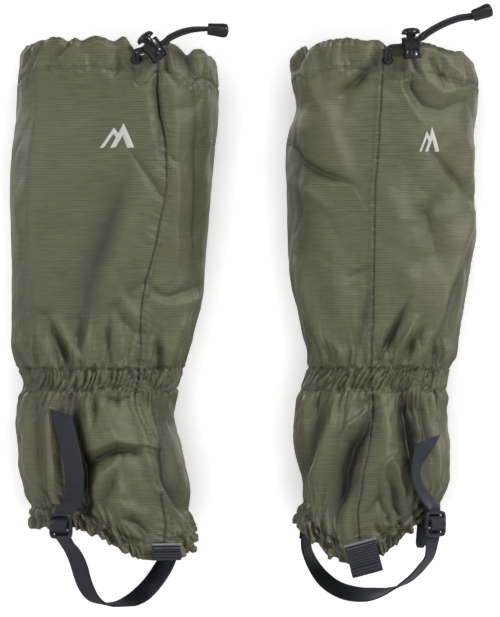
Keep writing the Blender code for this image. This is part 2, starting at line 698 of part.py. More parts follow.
def cord_end(gaiter, cord):
    """Hollow end piece over the cord's turn."""
    prefix = gaiter["prefix"]
    rot = basis(cord.end_up, cord.end_dir.cross(cord.end_up), cord.end_dir)
    lathe(prefix + "cord_end", CORD_END, 16, prefix + "ankle_flex",
          cord.end + cord.end_dir * END_SET, rot)


# ---------------------------------------------------------------- rear zip
def rear_zip(gaiter):
    """Two tapes, the slider and its hinged pull, down the back of the calf."""
    prefix, out = gaiter["prefix"], gaiter["out"]
    calf, slide, flip = prefix + "ankle_flex", prefix + "zip_slide", prefix + "pull_flip"
    bottom = surface(gaiter, ZIP_LOW, math.pi)[0]
    top = surface(gaiter, ZIP_HIGH, math.pi)[0]
    along = (top - bottom).normalized()
    across = (Vector((1, 0, 0)) - along * along.x).normalized()
    back = along.cross(across)
    rot = basis(across, back, along)
    for side, sign in (("outer", out), ("inner", -out)):
        tape = poly_curve([Vector((x * sign, y, 0)) for x, y in ZIP_TAPE], "2D")
        tape.fill_mode = "BOTH"
        tape.extrude = (top - bottom).length / 2 * MM
        tape.splines[0].use_cyclic_u = True
        piece("%s%s_zip_tape" % (prefix, side), tape, "zip", calf, (bottom + top) / 2, rot)

    slide_at = top - along * SLIDER_DROP
    hinge_at = slide_at + back * BAIL_OUT + along * BAIL_UP
    pivot(slide, slide_at, calf)
    pivot(flip, hinge_at, slide)
    slider = piece(prefix + "zip_slider", box_mesh(SLIDER_SIZE, (0, SLIDER_OUT, 0)),
                   "metal", slide, slide_at, rot)
    bevel(slider, 0.6)
    for k, sign in enumerate((-1, 1)):
        combine(slider, prefix + "lug_%d" % k,
                box_mesh(LUG_SIZE, (sign * LUG_X, LUG_OUT, BAIL_UP)), slide_at, rot, "UNION")
    combine(slider, prefix + "bail",
            rod_mesh(BAIL_R, BAIL_L, 10, centre=(0, BAIL_OUT, BAIL_UP)),
            slide_at, rot, "UNION")

    pull = piece(prefix + "zip_pull", rod_mesh(PULL_EYE_R, PULL_EYE_L, 14), "metal",
                 flip, hinge_at, rot)
    for name, size, z in PULL_PARTS:
        combine(pull, prefix + name, box_mesh(size, (0, 0, z)), hinge_at, rot, "UNION")
    combine(pull, prefix + "pull_hole", rod_mesh(PULL_HOLE_R, PULL_HOLE_L, 14),
            hinge_at, rot)


# -------------------------------------------------------- buckle and strap
def ladder_buckle(gaiter, frame):
    """Square frame with a round middle bar, and the webbing that holds it."""
    prefix = gaiter["prefix"]
    tilt = prefix + "buckle_tilt"
    rot = basis(frame.across, frame.up, frame.out)
    pivot(tilt, frame.origin, gaiter["root"])
    buckle = piece(prefix + "ladder_buckle", box_mesh((BUCKLE, BUCKLE, BUCKLE_T)),
                   "plastic", tilt, frame.origin, rot)
    bevel(buckle, 0.7)
    combine(buckle, prefix + "buckle_window", box_mesh(WINDOW), frame.origin, rot)
    combine(buckle, prefix + "buckle_bar", rod_mesh(BAR_R, BAR_L, 12), frame.origin,
            rot, "UNION")

    turn = []
    for k in range(WEB_TURN_STEPS + 1):
        a = math.radians(WEB_TURN - 2 * WEB_TURN * k / WEB_TURN_STEPS)
        turn.append((WEB_TURN_R * math.cos(a), WEB_TURN_R * math.sin(a)))
    ribbon(prefix + "buckle_webbing", frame.stations(WEB_IN + turn + WEB_OUT, WEB_W),
           WEB_T, "webbing", gaiter["root"])


def sole_strap(gaiter, frame):
    """Strap from the buckle under the boot to its anchor at the inner rear."""
    prefix, root, loop = gaiter["prefix"], gaiter["root"], gaiter["loop"]
    swing = prefix + "sole_strap_swing"
    half = STRAP_W / 2
    start = frame.origin - frame.out * STRAP_BACKSET
    start.z = loop[0][1]
    x = gaiter["anchor_x"]
    aspect = abs(x) / interpolate(gaiter["section"], ANCHOR_Z, 2)
    y = interpolate(DEPTH, ANCHOR_Z) * (1 - aspect ** SECTION_POWER) ** (1 / SECTION_POWER)
    anchor_ang = math.atan2(x, -y)
    end = surface(gaiter, ANCHOR_Z, anchor_ang, ANCHOR_OFF)[0]
    end.z = start.z
    across = UP.cross((start - end).normalized())
    pivot(swing, start, root)

    def cap(point, rises):
        """Stations of a rounded strap end above a point."""
        return [(point + UP * rise, across,
                 math.sqrt(half ** 2 - rise ** 2 * STRAP_END_FULLNESS)) for rise in rises]

    stations = cap(start, STRAP_END_RISES)
    for distance, z in loop:
        point = start + (end - start) * (distance / loop[-1][0])
        point.z = z
        stations.append((point, across, half))
    stations += cap(end, STRAP_END_RISES[::-1])
    ribbon(prefix + "sole_strap", stations, STRAP_T, "webbing", swing, start)

    centres = [end + UP * ANCHOR_WEB_RISE]
    centres += [surface(gaiter, z, anchor_ang, ANCHOR_WEB_OFF)[0]
                for z in ANCHOR_WEB_HEIGHTS]
    ribbon(prefix + "strap_anchor", [(point, across, WEB_W / 2) for point in centres],
           WEB_T, "webbing", root)


def strap_tail(gaiter, frame):
    """Free end of the strap, through the buckle and up the boot panel."""
    prefix, tail = gaiter["prefix"], gaiter["tail"]
    stations = frame.stations(TAIL_IN_BUCKLE, STRAP_W)
    for k, (x, z) in enumerate(tail):
        point, normal = surface(gaiter, z, angle_at_x(gaiter, z, x), TAIL_OFF)
        taper = TAIL_TIP if k == len(tail) - 1 else 1.0
        stations.append((point, UP.cross(normal).normalized(), STRAP_W / 2 * taper))
    ribbon(prefix + "strap_tail", stations, STRAP_T, "webbing", prefix + "buckle_tilt",
           frame.origin)


# ---------------------------------------------------------------- hook tab
def hook_tab(gaiter):
    """Folded tab at the toe with the metal lace hook behind it."""
    prefix = gaiter["prefix"]
    flip = prefix + "tab_flip"
    x, z = gaiter["tab"]
    out = facing(gaiter["tab_turn"])
    on_panel = surface(gaiter, z, angle_at_x(gaiter, z, x))[0]
    frame = Frame(on_panel + out * gaiter["tab_gap"], out, gaiter["tab_roll"])
    foot = -gaiter["tab_len"]
    pivot(flip, frame.origin, gaiter["root"])
    fold = [(0.0, 0.0)] + [(away, foot + rise) for away, rise in TAB_FOLD]
    ribbon(prefix + "front_tab", frame.stations(fold, TAB_W), TAB_T, "webbing", flip,
           frame.origin)

    hook = [(-HOOK_BACKSET, HOOK_TOP)]
    for k in range(7):
        a = math.pi * k / 6
        hook.append((-HOOK_BACKSET - HOOK_TURN_R * (1 - math.cos(a)),
                     foot + HOOK_TURN_Z - HOOK_TURN_R * math.sin(a)))
    hook.append((HOOK_TIP[0], foot + HOOK_TIP[1]))
    ribbon(prefix + "lace_hook", frame.stations(hook, HOOK_W), HOOK_T, "metal", flip,
           frame.origin)


def build(gaiter):
    ankle = Vector((interpolate(gaiter["section"], ANKLE_Z), 0.0, ANKLE_Z))
    pivot(gaiter["prefix"] + "ankle_flex", ankle, gaiter["root"])
    fabric(gaiter)

    cord = cord_layout(gaiter)
    drawcord(gaiter, cord, ankle)
    grommet(gaiter, cord)
    cord_lock(gaiter, cord)
    cord_end(gaiter, cord)

    rear_zip(gaiter)

    buckle = Frame(Vector(gaiter["buckle"]), facing(gaiter["buckle_turn"]))
    ladder_buckle(gaiter, buckle)
    sole_strap(gaiter, buckle)
    strap_tail(gaiter, buckle)
    hook_tab(gaiter)


build(LEFT)
pivot("pair_slide", PAIR_SLIDE_AT)
build(RIGHT)
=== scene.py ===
# A pair of olive nylon hiking gaiters standing side by side: the left one at
# -X, the right one at +X, fronts towards -Y, Z up. Each has a boot cover below
# the gathered ankle, a calf part above it, a drawcord with its lock at the
# top, a toe tab with a lace hook, a strap under the boot and a rear zip.
import json
import math
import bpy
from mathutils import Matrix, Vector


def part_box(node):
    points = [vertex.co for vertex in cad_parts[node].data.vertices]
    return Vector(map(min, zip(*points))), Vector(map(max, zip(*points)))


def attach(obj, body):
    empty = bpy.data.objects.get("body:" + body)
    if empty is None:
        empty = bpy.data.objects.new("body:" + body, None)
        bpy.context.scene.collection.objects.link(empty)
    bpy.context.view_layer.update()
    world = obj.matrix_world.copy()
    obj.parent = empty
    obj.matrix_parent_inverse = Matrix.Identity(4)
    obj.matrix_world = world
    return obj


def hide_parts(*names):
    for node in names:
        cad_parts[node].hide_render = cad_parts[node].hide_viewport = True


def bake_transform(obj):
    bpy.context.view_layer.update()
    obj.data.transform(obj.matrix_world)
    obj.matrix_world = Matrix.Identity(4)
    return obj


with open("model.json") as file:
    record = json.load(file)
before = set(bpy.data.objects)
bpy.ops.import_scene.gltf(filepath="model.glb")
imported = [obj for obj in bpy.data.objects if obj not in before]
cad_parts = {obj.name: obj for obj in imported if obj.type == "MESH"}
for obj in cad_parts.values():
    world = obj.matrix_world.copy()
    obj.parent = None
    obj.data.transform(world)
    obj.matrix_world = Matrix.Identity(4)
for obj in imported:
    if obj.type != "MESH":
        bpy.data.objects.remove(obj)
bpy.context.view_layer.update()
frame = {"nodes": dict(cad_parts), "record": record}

from types import SimpleNamespace

import bmesh
import bpy
import numpy as np
from mathutils import Matrix, Vector

# Lengths are millimetres unless a name says otherwise.
MM = 0.001
PAIR_ORIGIN = np.array([3.44, 5.98, 0.0])   # the pair's origin in the frame
UV_PER_MM = 0.01
UP = np.array([0.0, 0.0, 1.0])
FRONT = np.array([0.0, -1.0, 0.0])
RIGHTWARD = np.array([1.0, 0.0, 0.0])

SECTION_POWER = 2.45        # superellipse power of the leg's cross section
LEG_RADIUS = 82.0           # turns an evened angle into distance round the leg
ANKLE_ROWS = 186.0, 204.5   # heights of the two ankle stitch rows
ANKLE_MID = 194.0
HEM_STITCH = 14.0           # stitch row above the bottom edge
RIM_STITCH = 24.0           # stitch row below the top edge
COLS, ROWS = ((280, 400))

STRAP_HALF = 8.3            # half width of the strap through the buckle
HOLDER_HALF = 8.1           # half width of the webbing sewn inside the hem
STRAP_THICK = 1.5
HOLDER_THICK = 1.15
BEHIND_BUCKLE = 2.8         # how far the strap lies behind the buckle's middle
TAB_HALF = 13.5
CORD_RADIUS = 1.6
CORD_SPACING = 1.5          # each cord strand from the pair's centre line
TOOTH_PITCH = 1.5

# Half depth of both legs: height, half depth.
DEPTH_ROWS = [
    (20, 53), (60, 54), (80, 56), (98, 59), (120, 60), (150, 54), (180, 45),
    (191, 43.5), (207, 43), (240, 45), (300, 48), (481, 57)]

# Folds on the front, ridges above zero and creases below it: width to the left
# and to the right of the path as it is walked, then the path's
# (x, z, height off the cloth).
LEFT_FOLDS = [
    (11.18, 14.62, [(-108.36, 366.36, -1), (-115.24, 344.86, -2.6), (-126.42, 314.76, -3.2),
                    (-141.04, 271.76, -3), (-147.92, 233.06, -1.5)]),
    (9.46, 9.46, [(-92.02, 366.36, 0.6), (-106.64, 327.66, 2), (-120.4, 288.96, 2),
                  (-130.72, 263.16, 0.5)]),
    (13.76, 7.74, [(-178.88, 469.56, 1), (-185.76, 417.96, 2.2), (-190.92, 349.16, 2.2),
                   (-189.2, 280.36, 1.2)]),
    (3.44, 4.3, [(-103.2, 390.44, -0.6), (-89.44, 370.66, -1.8), (-77.4, 352.6, -1.4)]),
    (3.784, 6.88, [(-91.16, 278.64, -0.5), (-103.2, 270.04, -1.7), (-116.1, 256.28, -0.9)]),
    (5.16, 4.3, [(-116.1, 258, -0.8), (-107.5, 244.24, -1.2), (-96.32, 232.2, -0.6)]),
    (6.02, 6.02, [(-109.22, 263.16, 1), (-103.2, 252.84, 2.2), (-96.32, 244.24, 1)]),
    (2.58, 3.44, [(-190.06, 255.42, -0.4), (-179.74, 251.98, -1.4), (-170.28, 252.84, -0.3)]),
    (2.58, 3.87, [(-175.44, 247.68, -0.8), (-168.56, 232.2, -2.6), (-159.96, 215, -3.4),
                  (-154.8, 204.68, -2)]),
    (4.3, 5.16, [(-168.56, 247.68, 0.8), (-159.96, 230.48, 2.2), (-151.36, 215, 1.8)]),
    (5.16, 5.16, [(-187.48, 237.36, 0.6), (-178.88, 220.16, 2), (-172, 206.4, 1.2)]),
    (5.16, 4.3, [(-137.6, 247.68, 0.8), (-141.04, 228.76, 2.4), (-142.76, 209.84, 1.6)]),
    (3.87, 4.3, [(-122.12, 252.84, -0.6), (-122.98, 233.06, -2.4), (-122.12, 211.56, -2)]),
    (4.3, 4.3, [(-110.08, 233.06, 0.8), (-110.08, 218.44, 2), (-108.36, 206.4, 1)]),
    (3.44, 3.44, [(-147.92, 245.96, -0.8), (-149.64, 224.46, -2), (-149.64, 209.84, -1.2)]),
    (2.58, 3.44, [(-207.26, 221.88, -1.5), (-201.24, 213.28, -3.2), (-193.5, 201.24, -1.5)]),
    (3.612, 6.88, [(-87.72, 277.78, -0.6), (-79.12, 269.18, -1.6), (-70.52, 265.74, -1.9),
                   (-57.62, 270.04, -1.5), (-43, 276.06, -0.6)]),
    (6.88, 6.88, [(-79.12, 261.44, 0.6), (-65.36, 258.86, 1.8), (-48.16, 264.02, 1.2)]),
    (3.87, 4.3, [(-78.26, 230.48, -1), (-77.4, 218.44, -4.4), (-76.54, 204.68, -3.8),
                 (-75.68, 196.08, -1)]),
    (6.02, 6.88, [(-51.6, 263.16, 0.8), (-58.48, 241.66, 3), (-67.08, 218.44, 3),
                  (-70.52, 204.68, 1.2)]),
    (6.02, 6.88, [(-65.36, 443.76, 0.5), (-64.5, 400.76, 1.5), (-63.64, 349.16, 1.9),
                  (-63.64, 295.84, 1.7), (-56.76, 276.06, 0.5)]),
    (10.32, 6.02, [(-46.44, 439.46, -0.6), (-45.58, 392.16, -2), (-46.44, 331.96, -2.2),
                   (-48.16, 284.66, -1)]),
    (3.44, 4.3, [(-70.52, 392.16, -0.6), (-67.08, 383.56, -1.8), (-58.48, 376.68, -0.6)]),
    (6.02, 4.3, [(-81.7, 467.84, -1.4), (-80.84, 435.16, -2.2), (-76.54, 400.76, -1.8),
                 (-72.24, 370.66, -0.6)]),
    (7.74, 6.02, [(-87.72, 467.84, 0.8), (-91.16, 439.46, 1.4), (-86, 400.76, 0.6)]),
    (5.16, 6.02, [(-132.44, 460.96, 0.5), (-120.4, 448.92, 1.6), (-108.36, 457.52, 0.6)]),
    (2.58, 3.44, [(-113.52, 473, -1), (-112.66, 464.4, -1.6), (-116.1, 455.8, -0.4)]),
    (4.3, 4.3, [(-68.8, 473, 1.4), (-65.36, 457.52, 1.8), (-55.9, 448.92, 0.6)]),
    (3.44, 3.44, [(-73.96, 474.72, -1.2), (-71.38, 460.96, -2.4), (-65.36, 450.64, -0.8)]),
    (3.87, 4.3, [(-50.74, 469.56, -1.6), (-47.3, 457.52, -2.4), (-40.42, 447.2, -0.6)]),
    (2.58, 2.58, [(-190.92, 480.74, -1), (-193.5, 473, -2), (-196.08, 462.68, -0.4)]),
    (2.58, 2.58, [(-182.32, 481.6, -0.8), (-186.62, 471.28, -2), (-190.92, 460.96, -0.4)]),
    (2.58, 3.44, [(-158.24, 481.6, -1.4), (-165.12, 474.72, -1.6), (-173.72, 467.84, -0.3)]),
    (22.36, 20.64, [(-163.4, 435.16, 0.5), (-156.52, 392.16, 1.2), (-159.96, 340.56, 0.8)]),
    # boot cover
    (7.74, 7.74, [(-151.36, 178.88, -3.6), (-151.36, 155.66, -6.8), (-145.34, 132.44, -9.2),
                  (-141.04, 111.8, -10), (-141.9, 89.44, -8.4), (-147.92, 72.24, -3.6)]),
    (4.3, 4.3, [(-163.4, 177.16, -1.5), (-165.12, 151.36, -3), (-163.4, 116.96, -3.2),
                (-161.68, 91.16, -2)]),
    (4.3, 4.3, [(-134.16, 181.46, -2), (-133.3, 168.56, -4), (-137.6, 151.36, -1.8)]),
    (4.3, 4.3, [(-141.04, 177.16, 1), (-139.32, 159.96, 2), (-137.6, 147.06, 1.4)]),
    (18.92, 3.87, [(-146.2, 134.16, 1.5), (-132.44, 136.74, 5), (-115.24, 143.62, 6.5),
                   (-98.04, 140.18, 4.5)]),
    (3.01, 6.02, [(-141.04, 121.26, -3), (-129, 128.14, -4.6), (-114.38, 135.02, -4.6),
                  (-96.32, 134.16, -2.5)]),
    (8.6, 12.04, [(-128.14, 180.6, 0.8), (-123.84, 166.84, 3.2), (-120.4, 153.08, 3.6),
                  (-115.24, 146.2, 1.5)]),
    (3.01, 4.3, [(-123.84, 179.74, -1.2), (-113.52, 176.3, -3), (-102.34, 179.74, -1)]),
    (7.74, 6.02, [(-115.24, 123.84, 1), (-129, 115.24, 4.2), (-137.6, 99.76, 5),
                  (-137.6, 84.28, 2)]),
    (3.87, 5.16, [(-111.8, 123.84, -1.2), (-117.82, 108.36, -3), (-125.56, 93.74, -3),
                  (-130.72, 84.28, -1.2)]),
    (5.16, 6.02, [(-113.52, 116.96, 1), (-111.8, 99.76, 2.6), (-116.96, 80.84, 1.4)]),
    (6.88, 4.3, [(-98.9, 178.88, 1), (-95.46, 155.66, 3.4), (-91.16, 134.16, 4.2),
                 (-85.14, 115.24, 4.2), (-78.26, 99.76, 2.4)]),
    (2.752, 4.3, [(-78.26, 100.62, 1.8), (-67.94, 90.3, 3), (-56.76, 74.82, 2.2),
                  (-49.88, 60.2, 0.5)]),
    (8.6, 8.6, [(-80.84, 181.46, -1.3), (-75.68, 159.96, -4.2), (-72.24, 134.16, -5.6),
                (-69.66, 110.08, -5.6), (-60.2, 86.86, -3.8)]),
    (5.16, 6.02, [(-61.92, 177.16, 1), (-58.48, 151.36, 2.4), (-55.04, 116.96, 2.4),
                  (-54.18, 91.16, 1)]),
    (2.58, 3.44, [(-68.8, 187.48, -1.5), (-63.64, 175.44, -3), (-56.76, 159.96, -1)]),
    (3.44, 6.02, [(-110.08, 76.54, -1.2), (-98.9, 73.96, -3.4), (-88.58, 65.36, -2.2),
                  (-86, 55.04, -0.6)]),
    (5.16, 6.02, [(-119.54, 91.16, 0.8), (-104.92, 85.14, 2.6), (-87.72, 79.12, 1.8)]),
    (3.44, 3.44, [(-103.2, 67.94, 0.8), (-94.6, 61.92, 2.2), (-91.16, 51.6, 1.2)]),
    (6.02, 5.16, [(-197.8, 173.72, 0.8), (-193.5, 142.76, 3), (-190.06, 108.36, 2.4),
                  (-187.48, 91.16, 1)]),
    (4.3, 4.3, [(-186.62, 178.88, -1.6), (-185.76, 155.66, -2.6), (-181.46, 116.96, -2.6),
                (-178.88, 92.88, -1.8)]),
    (5.16, 4.3, [(-176.3, 178.88, 1.4), (-174.58, 151.36, 3), (-172, 116.96, 3),
                 (-170.28, 91.16, 1.4)]),
]
RIGHT_FOLDS = [
    (5.16, 6.88, [(110.08, 469.56, -1.8), (94.6, 453.22, -3.8), (78.26, 439.46, -1.6)]),
    (6.88, 6.88, [(98.04, 467.84, 0.8), (84.28, 454.08, 2.4), (68.8, 442.04, 1.6)]),
    (6.88, 6.88, [(103.2, 442.04, 0.8), (89.44, 431.72, 2.2), (80.84, 416.24, 1)]),
    (6.02, 9.46, [(134.16, 460.96, -1), (137.6, 442.04, -2.9), (147.92, 429.14, -2.3),
                  (165.12, 424.84, -1.6), (184.04, 434.3, -1.1), (193.5, 447.2, -0.4)]),
    (6.88, 6.02, [(142.76, 467.84, 0.8), (151.36, 450.64, 2.2), (165.12, 440.32, 2.2),
                  (178.88, 439.46, 1)]),
    (4.3, 3.87, [(129, 464.4, 0.6), (129.86, 443.76, 1.6), (137.6, 428.28, 1.4),
                 (144.48, 417.96, 0.4)]),
    (2.58, 2.58, [(139.32, 471.28, -1.2), (142.76, 460.96, -2.2), (147.92, 452.36, -0.6)]),
    (3.01, 3.44, [(158.24, 467.84, -1.2), (164.26, 455.8, -2.2), (172, 447.2, -0.8)]),
    (4.3, 4.3, [(168.56, 471.28, 1), (177.16, 459.24, 2), (182.32, 448.92, 0.8)]),
    (2.58, 3.01, [(174.58, 448.92, -0.8), (184.04, 446.34, -1.8), (194.36, 448.92, -0.6)]),
    (10.32, 20.64, [(48.16, 464.4, 1.6), (55.9, 436.88, 4), (67.08, 419.68, 4.6),
                    (71.38, 395.6, 4), (77.4, 378.4, 2.6), (86, 361.2, 0.8)]),
    (3.87, 5.16, [(30.1, 394.74, -1.2), (43.86, 380.12, -2.6), (60.2, 371.52, -3.2),
                  (75.68, 366.36, -2.4), (87.72, 361.2, -0.8)]),
    (8.6, 8.6, [(34.4, 368.08, 0.6), (46.44, 356.04, 2.4), (60.2, 344.86, 1.6)]),
    (10.32, 13.76, [(33.54, 419.68, -0.5), (37.84, 387, -1.7), (38.7, 344.86, -1.6),
                    (40.42, 306.16, -0.5)]),
    (2.58, 3.44, [(41.28, 478.16, -0.8), (43.86, 471.28, -2.4), (38.7, 459.24, -0.8)]),
    (6.88, 6.88, [(67.08, 474.72, 0.6), (72.24, 459.24, 1.4), (68.8, 447.2, 0.6)]),
    (3.44, 4.73, [(154.8, 390.44, -0.8), (170.28, 374.96, -2.4), (184.04, 359.48, -2.2),
                  (190.06, 344, -1)]),
    (8.6, 7.74, [(172, 417.96, 0.6), (185.76, 392.16, 2.4), (190.92, 357.76, 1.6)]),
    (3.44, 9.46, [(190.06, 344, 1), (184.9, 323.36, 3), (178.02, 301, 3.4),
                  (169.42, 278.64, 3.4), (161.68, 256.28, 3.2), (155.66, 233.92, 2.2),
                  (153.94, 218.44, 0.8)]),
    (5.16, 4.3, [(183.18, 295.84, -0.8), (175.44, 271.76, -2), (167.7, 249.4, -1.6),
                 (162.54, 228.76, -0.6)]),
    (10.32, 8.6, [(161.68, 354.32, -0.8), (149.64, 337.12, -2.4), (154.8, 314.76, -1.6),
                  (159.96, 295.84, -0.6)]),
    (12.04, 12.04, [(116.96, 357.76, 0.8), (125.56, 331.96, 2), (120.4, 306.16, 0.8)]),
    (3.01, 4.3, [(80.84, 282.08, -1), (89.44, 287.24, -1.8), (98.04, 290.68, -0.6)]),
    (12.04, 10.32, [(67.08, 306.16, 0.6), (70.52, 276.06, 2), (75.68, 245.96, 0.8)]),
    (4.3, 4.3, [(98.04, 266.6, -0.8), (92.88, 247.68, -2), (89.44, 224.46, -1.2)]),
    (9.46, 3.44, [(35.26, 301, 0.8), (41.28, 271.76, 2.6), (49.02, 249.4, 3),
                  (56.76, 230.48, 2.6), (60.2, 215, 0.8)]),
    (12.04, 10.32, [(120.4, 295.84, 0.4), (135.88, 280.36, 1.8), (144.48, 263.16, 0.6)]),
    (4.3, 3.87, [(134.16, 263.16, -1), (124.7, 244.24, -3.4), (115.24, 224.46, -4),
                 (107.5, 211.56, -1.6)]),
    (3.44, 3.44, [(139.32, 247.68, 1), (130.72, 230.48, 3), (121.26, 213.28, 1.8)]),
    (3.44, 3.44, [(145.34, 239.08, -1), (136.74, 225.32, -2.8), (129, 211.56, -1.2)]),
    (3.44, 3.44, [(151.36, 232.2, 0.8), (146.2, 220.16, 2.2), (141.04, 209.84, 1)]),
    (3.44, 4.3, [(159.1, 230.48, -1.2), (159.1, 216.72, -4.4), (156.52, 201.24, -2)]),
    (5.16, 5.16, [(172, 237.36, 0.6), (169.42, 220.16, 1.8), (166.84, 206.4, 0.8)]),
    (4.3, 4.3, [(67.08, 228.76, 0.4), (73.96, 218.44, 1.6), (75.68, 208.12, 0.8)]),
    # boot cover
    (4.3, 6.88, [(46.44, 189.2, 1.4), (46.44, 170.28, 3.8), (44.72, 147.92, 3.6),
                 (41.28, 129.86, 1.4)]),
    (7.31, 6.88, [(58.48, 178.88, -1.8), (53.32, 156.52, -5.4), (47.3, 134.16, -6.4),
                  (43, 113.52, -4)]),
    (6.88, 7.74, [(70.52, 180.6, 1.2), (67.08, 159.96, 4.2), (59.34, 137.6, 5.2),
                  (50.74, 111.8, 5), (49.88, 86, 2.4)]),
    (5.16, 6.02, [(80.84, 180.6, 0.8), (84.28, 166.84, 2.4), (79.12, 156.52, 1.2)]),
    (7.74, 2.58, [(104.92, 175.44, 1), (93.74, 165.12, 3.6), (81.7, 156.52, 4.6),
                  (73.96, 142.76, 2)]),
    (9.46, 10.32, [(103.2, 168.56, -3), (96.32, 149.64, -6.5), (86, 135.88, -9),
                   (78.26, 118.68, -9.5), (72.24, 99.76, -8), (65.36, 80.84, -4)]),
    (7.74, 7.74, [(113.52, 185.76, 1.6), (116.1, 164.26, 5.2), (116.1, 142.76, 5),
                  (111.8, 123.84, 3)]),
    (9.46, 10.32, [(128.14, 187.48, -3.4), (132.44, 168.56, -8.2), (136.74, 146.2, -10.4),
                   (139.32, 127.28, -9), (140.18, 110.08, -4.5)]),
    (2.58, 3.01, [(154.8, 189.2, 1.4), (155.66, 159.96, 3.4), (159.1, 122.12, 3.4),
                  (161.68, 89.44, 1.6)]),
    (4.3, 3.44, [(147.92, 187.48, -1), (147.92, 168.56, -2.6), (151.36, 134.16, -2.4),
                 (153.08, 108.36, -1.2)]),
    (2.58, 3.01, [(158.24, 187.48, -1.4), (159.1, 178.88, -3), (159.96, 166.84, -0.8)]),
    (5.16, 5.16, [(166.84, 177.16, 0.8), (169.42, 142.76, 2), (168.56, 108.36, 1.2)]),
    (3.44, 4.3, [(110.08, 108.36, 0.8), (113.52, 122.98, 3.4), (119.54, 129, 4),
                 (125.56, 118.68, 4.2), (129.86, 101.48, 3.8), (134.16, 82.56, 1.6)]),
    (3.44, 3.44, [(116.96, 113.52, -1.2), (120.4, 103.2, -3.6), (125.56, 89.44, -3.8),
                  (129, 77.4, -1.4)]),
    (3.44, 3.44, [(107.5, 108.36, -0.8), (106.64, 94.6, -2.6), (115.24, 80.84, -2.4),
                  (120.4, 72.24, -0.8)]),
    (2.58, 2.58, [(94.6, 78.26, -0.6), (103.2, 88.58, -2), (108.36, 94.6, -0.8)]),
    (3.44, 3.44, [(138.46, 111.8, 1), (137.6, 94.6, 2.8), (139.32, 80.84, 1.2)]),
    (6.88, 6.88, [(79.98, 91.16, 1), (77.4, 69.66, 3.2), (79.98, 49.88, 2)]),
    (6.88, 6.88, [(101.48, 73.96, 0.6), (103.2, 56.76, 1.8), (99.76, 46.44, 0.8)]),
    (2.58, 3.44, [(115.24, 58.48, -0.8), (108.36, 67.08, -2.6), (103.2, 73.96, -0.6)]),
]

# One record per gaiter. Angles are in degrees. The columns of its tables:
#   section     height, centre x, half width of the leg
#   seam        height, x of the front seam
#   rim         x, height of the top edge's front
#   loop        distance along the sole strap's level run, height
#   twist       distance along the sole strap, roll of the band
#   tail        x, z, height off the leg, outward tilt of the strap's free end
#   cord_run    points of the cord between lock and bell end
LEFT = SimpleNamespace(
    prefix="left_", outward=-1.0, seed=3, folds=LEFT_FOLDS,
    toe_angle=38.0, hem_low=42.0, hem_rise=29.0, hem_rate=0.60,
    section=[
        (20, -116.0, 70.0), (52.5, -117.0, 70.0), (72, -120.4, 68.8), (82.6, -121.9, 68.2),
        (98, -124.3, 71.8), (118.7, -128.6, 72.7), (139, -131.2, 71.0), (160, -134.6, 69.2),
        (180.6, -132.4, 68.3), (191, -129.9, 68.3), (206.4, -130.3, 72.8), (222, -129.9, 77.4),
        (242.5, -127.3, 80.0), (263, -124.7, 82.6), (294, -123.4, 83.9), (325, -122.6, 85.6),
        (356, -121.7, 87.3), (387, -119.5, 87.7), (418, -116.1, 87.7), (448.9, -115.2, 86.9),
        (481.6, -114.8, 84.3), (500, -114.8, 83.0)],
    seam=[
        (20, -71.4), (58, -71.4), (80, -72.0), (106, -80.6), (126, -85.6), (151, -90.6),
        (162, -95.5), (181, -96.9), (202, -95.5), (224, -94.1), (252, -94.1), (275, -91.2),
        (298, -85.6), (323, -80.0), (360, -73.4), (393, -72.7), (424, -79.1), (464, -79.1),
        (500, -79.1)],
    rim=[
        (-201.24, 471.28), (-196.08, 478.16), (-190.92, 482.46), (-182.32, 483.32),
        (-173.204, 485.9), (-164.26, 484.782), (-159.1, 482.632), (-151.36, 485.384),
        (-147.92, 483.492), (-137.6, 486.76), (-125.56, 484.524), (-117.82, 482.46),
        (-108.36, 486.072), (-102.34, 478.16), (-97.18, 471.28), (-89.44, 472.14),
        (-83.42, 479.02), (-76.54, 481.944), (-65.36, 480.482), (-55.9, 475.408),
        (-49.88, 470.248), (-42.14, 475.924), (-35.26, 475.58), (-30.96, 471.28),
        (-27.52, 464.4)],
    mark_centre=(-115.67, 403.77), mark_size=(30.0, 21.0),
    buckle=(-163.0, -59.0, 70.5), buckle_turn=36.0,
    loop=[
        (0.0, 50.1), (5.0, 55.0), (10.5, 49.5), (15.5, 42.5), (19.5, 34.5), (23.0, 25.5),
        (28.0, 16.0), (35.5, 7.8), (46.0, 3.0), (60.0, 1.4), (74.0, 2.8), (88.0, 7.5),
        (101.0, 15.5), (112.5, 26.0), (121.0, 36.0), (126.5, 44.5), (128.6, 50.1)],
    twist=[(0, 0), (20, -18), (45, 5), (70, 14), (95, 42), (118, 38), (128.6, 10)],
    tail=[
        (-153.08, 91.16, 3.4, 0.0), (-150.5, 108.36, 4.5, 0.0), (-152.22, 125.56, 5.0, 0.0),
        (-156.09, 142.76, 4.6, 0.0), (-160.39, 159.1, 4.2, 0.0), (-164.26, 172.86, 4.0, 0.0)],
    tail_cut=1.0, tail_slant=12.0, holder_fold=None,
    lock=(-86.4, -67.0, 482.5), lock_shift=(1.3, 0.0, -3.6), lock_lean=18.0,
    cord_tilt=20.0, cord_roll=1.25, lock_exit=(12.0, 0.0),
    cord_run=[(-70.0, -66.5, 486.6), (-60.0, -66.0, 491.2), (-50.0, -65.0, 493.6)],
    cord_end=(-38.5, -64.0, 494.2), cord_end_dir=(1.0, 0.0, -0.10),
    cord_exit=(-98.5, 468.0), cord_mid=(-98.5, -62.5, 474.0),
    tab_turn=27.0, tab_length=16.0, tab_top=-3.6, tab_slide=-3.4,
    rear_x=(-130.0, -115.0))
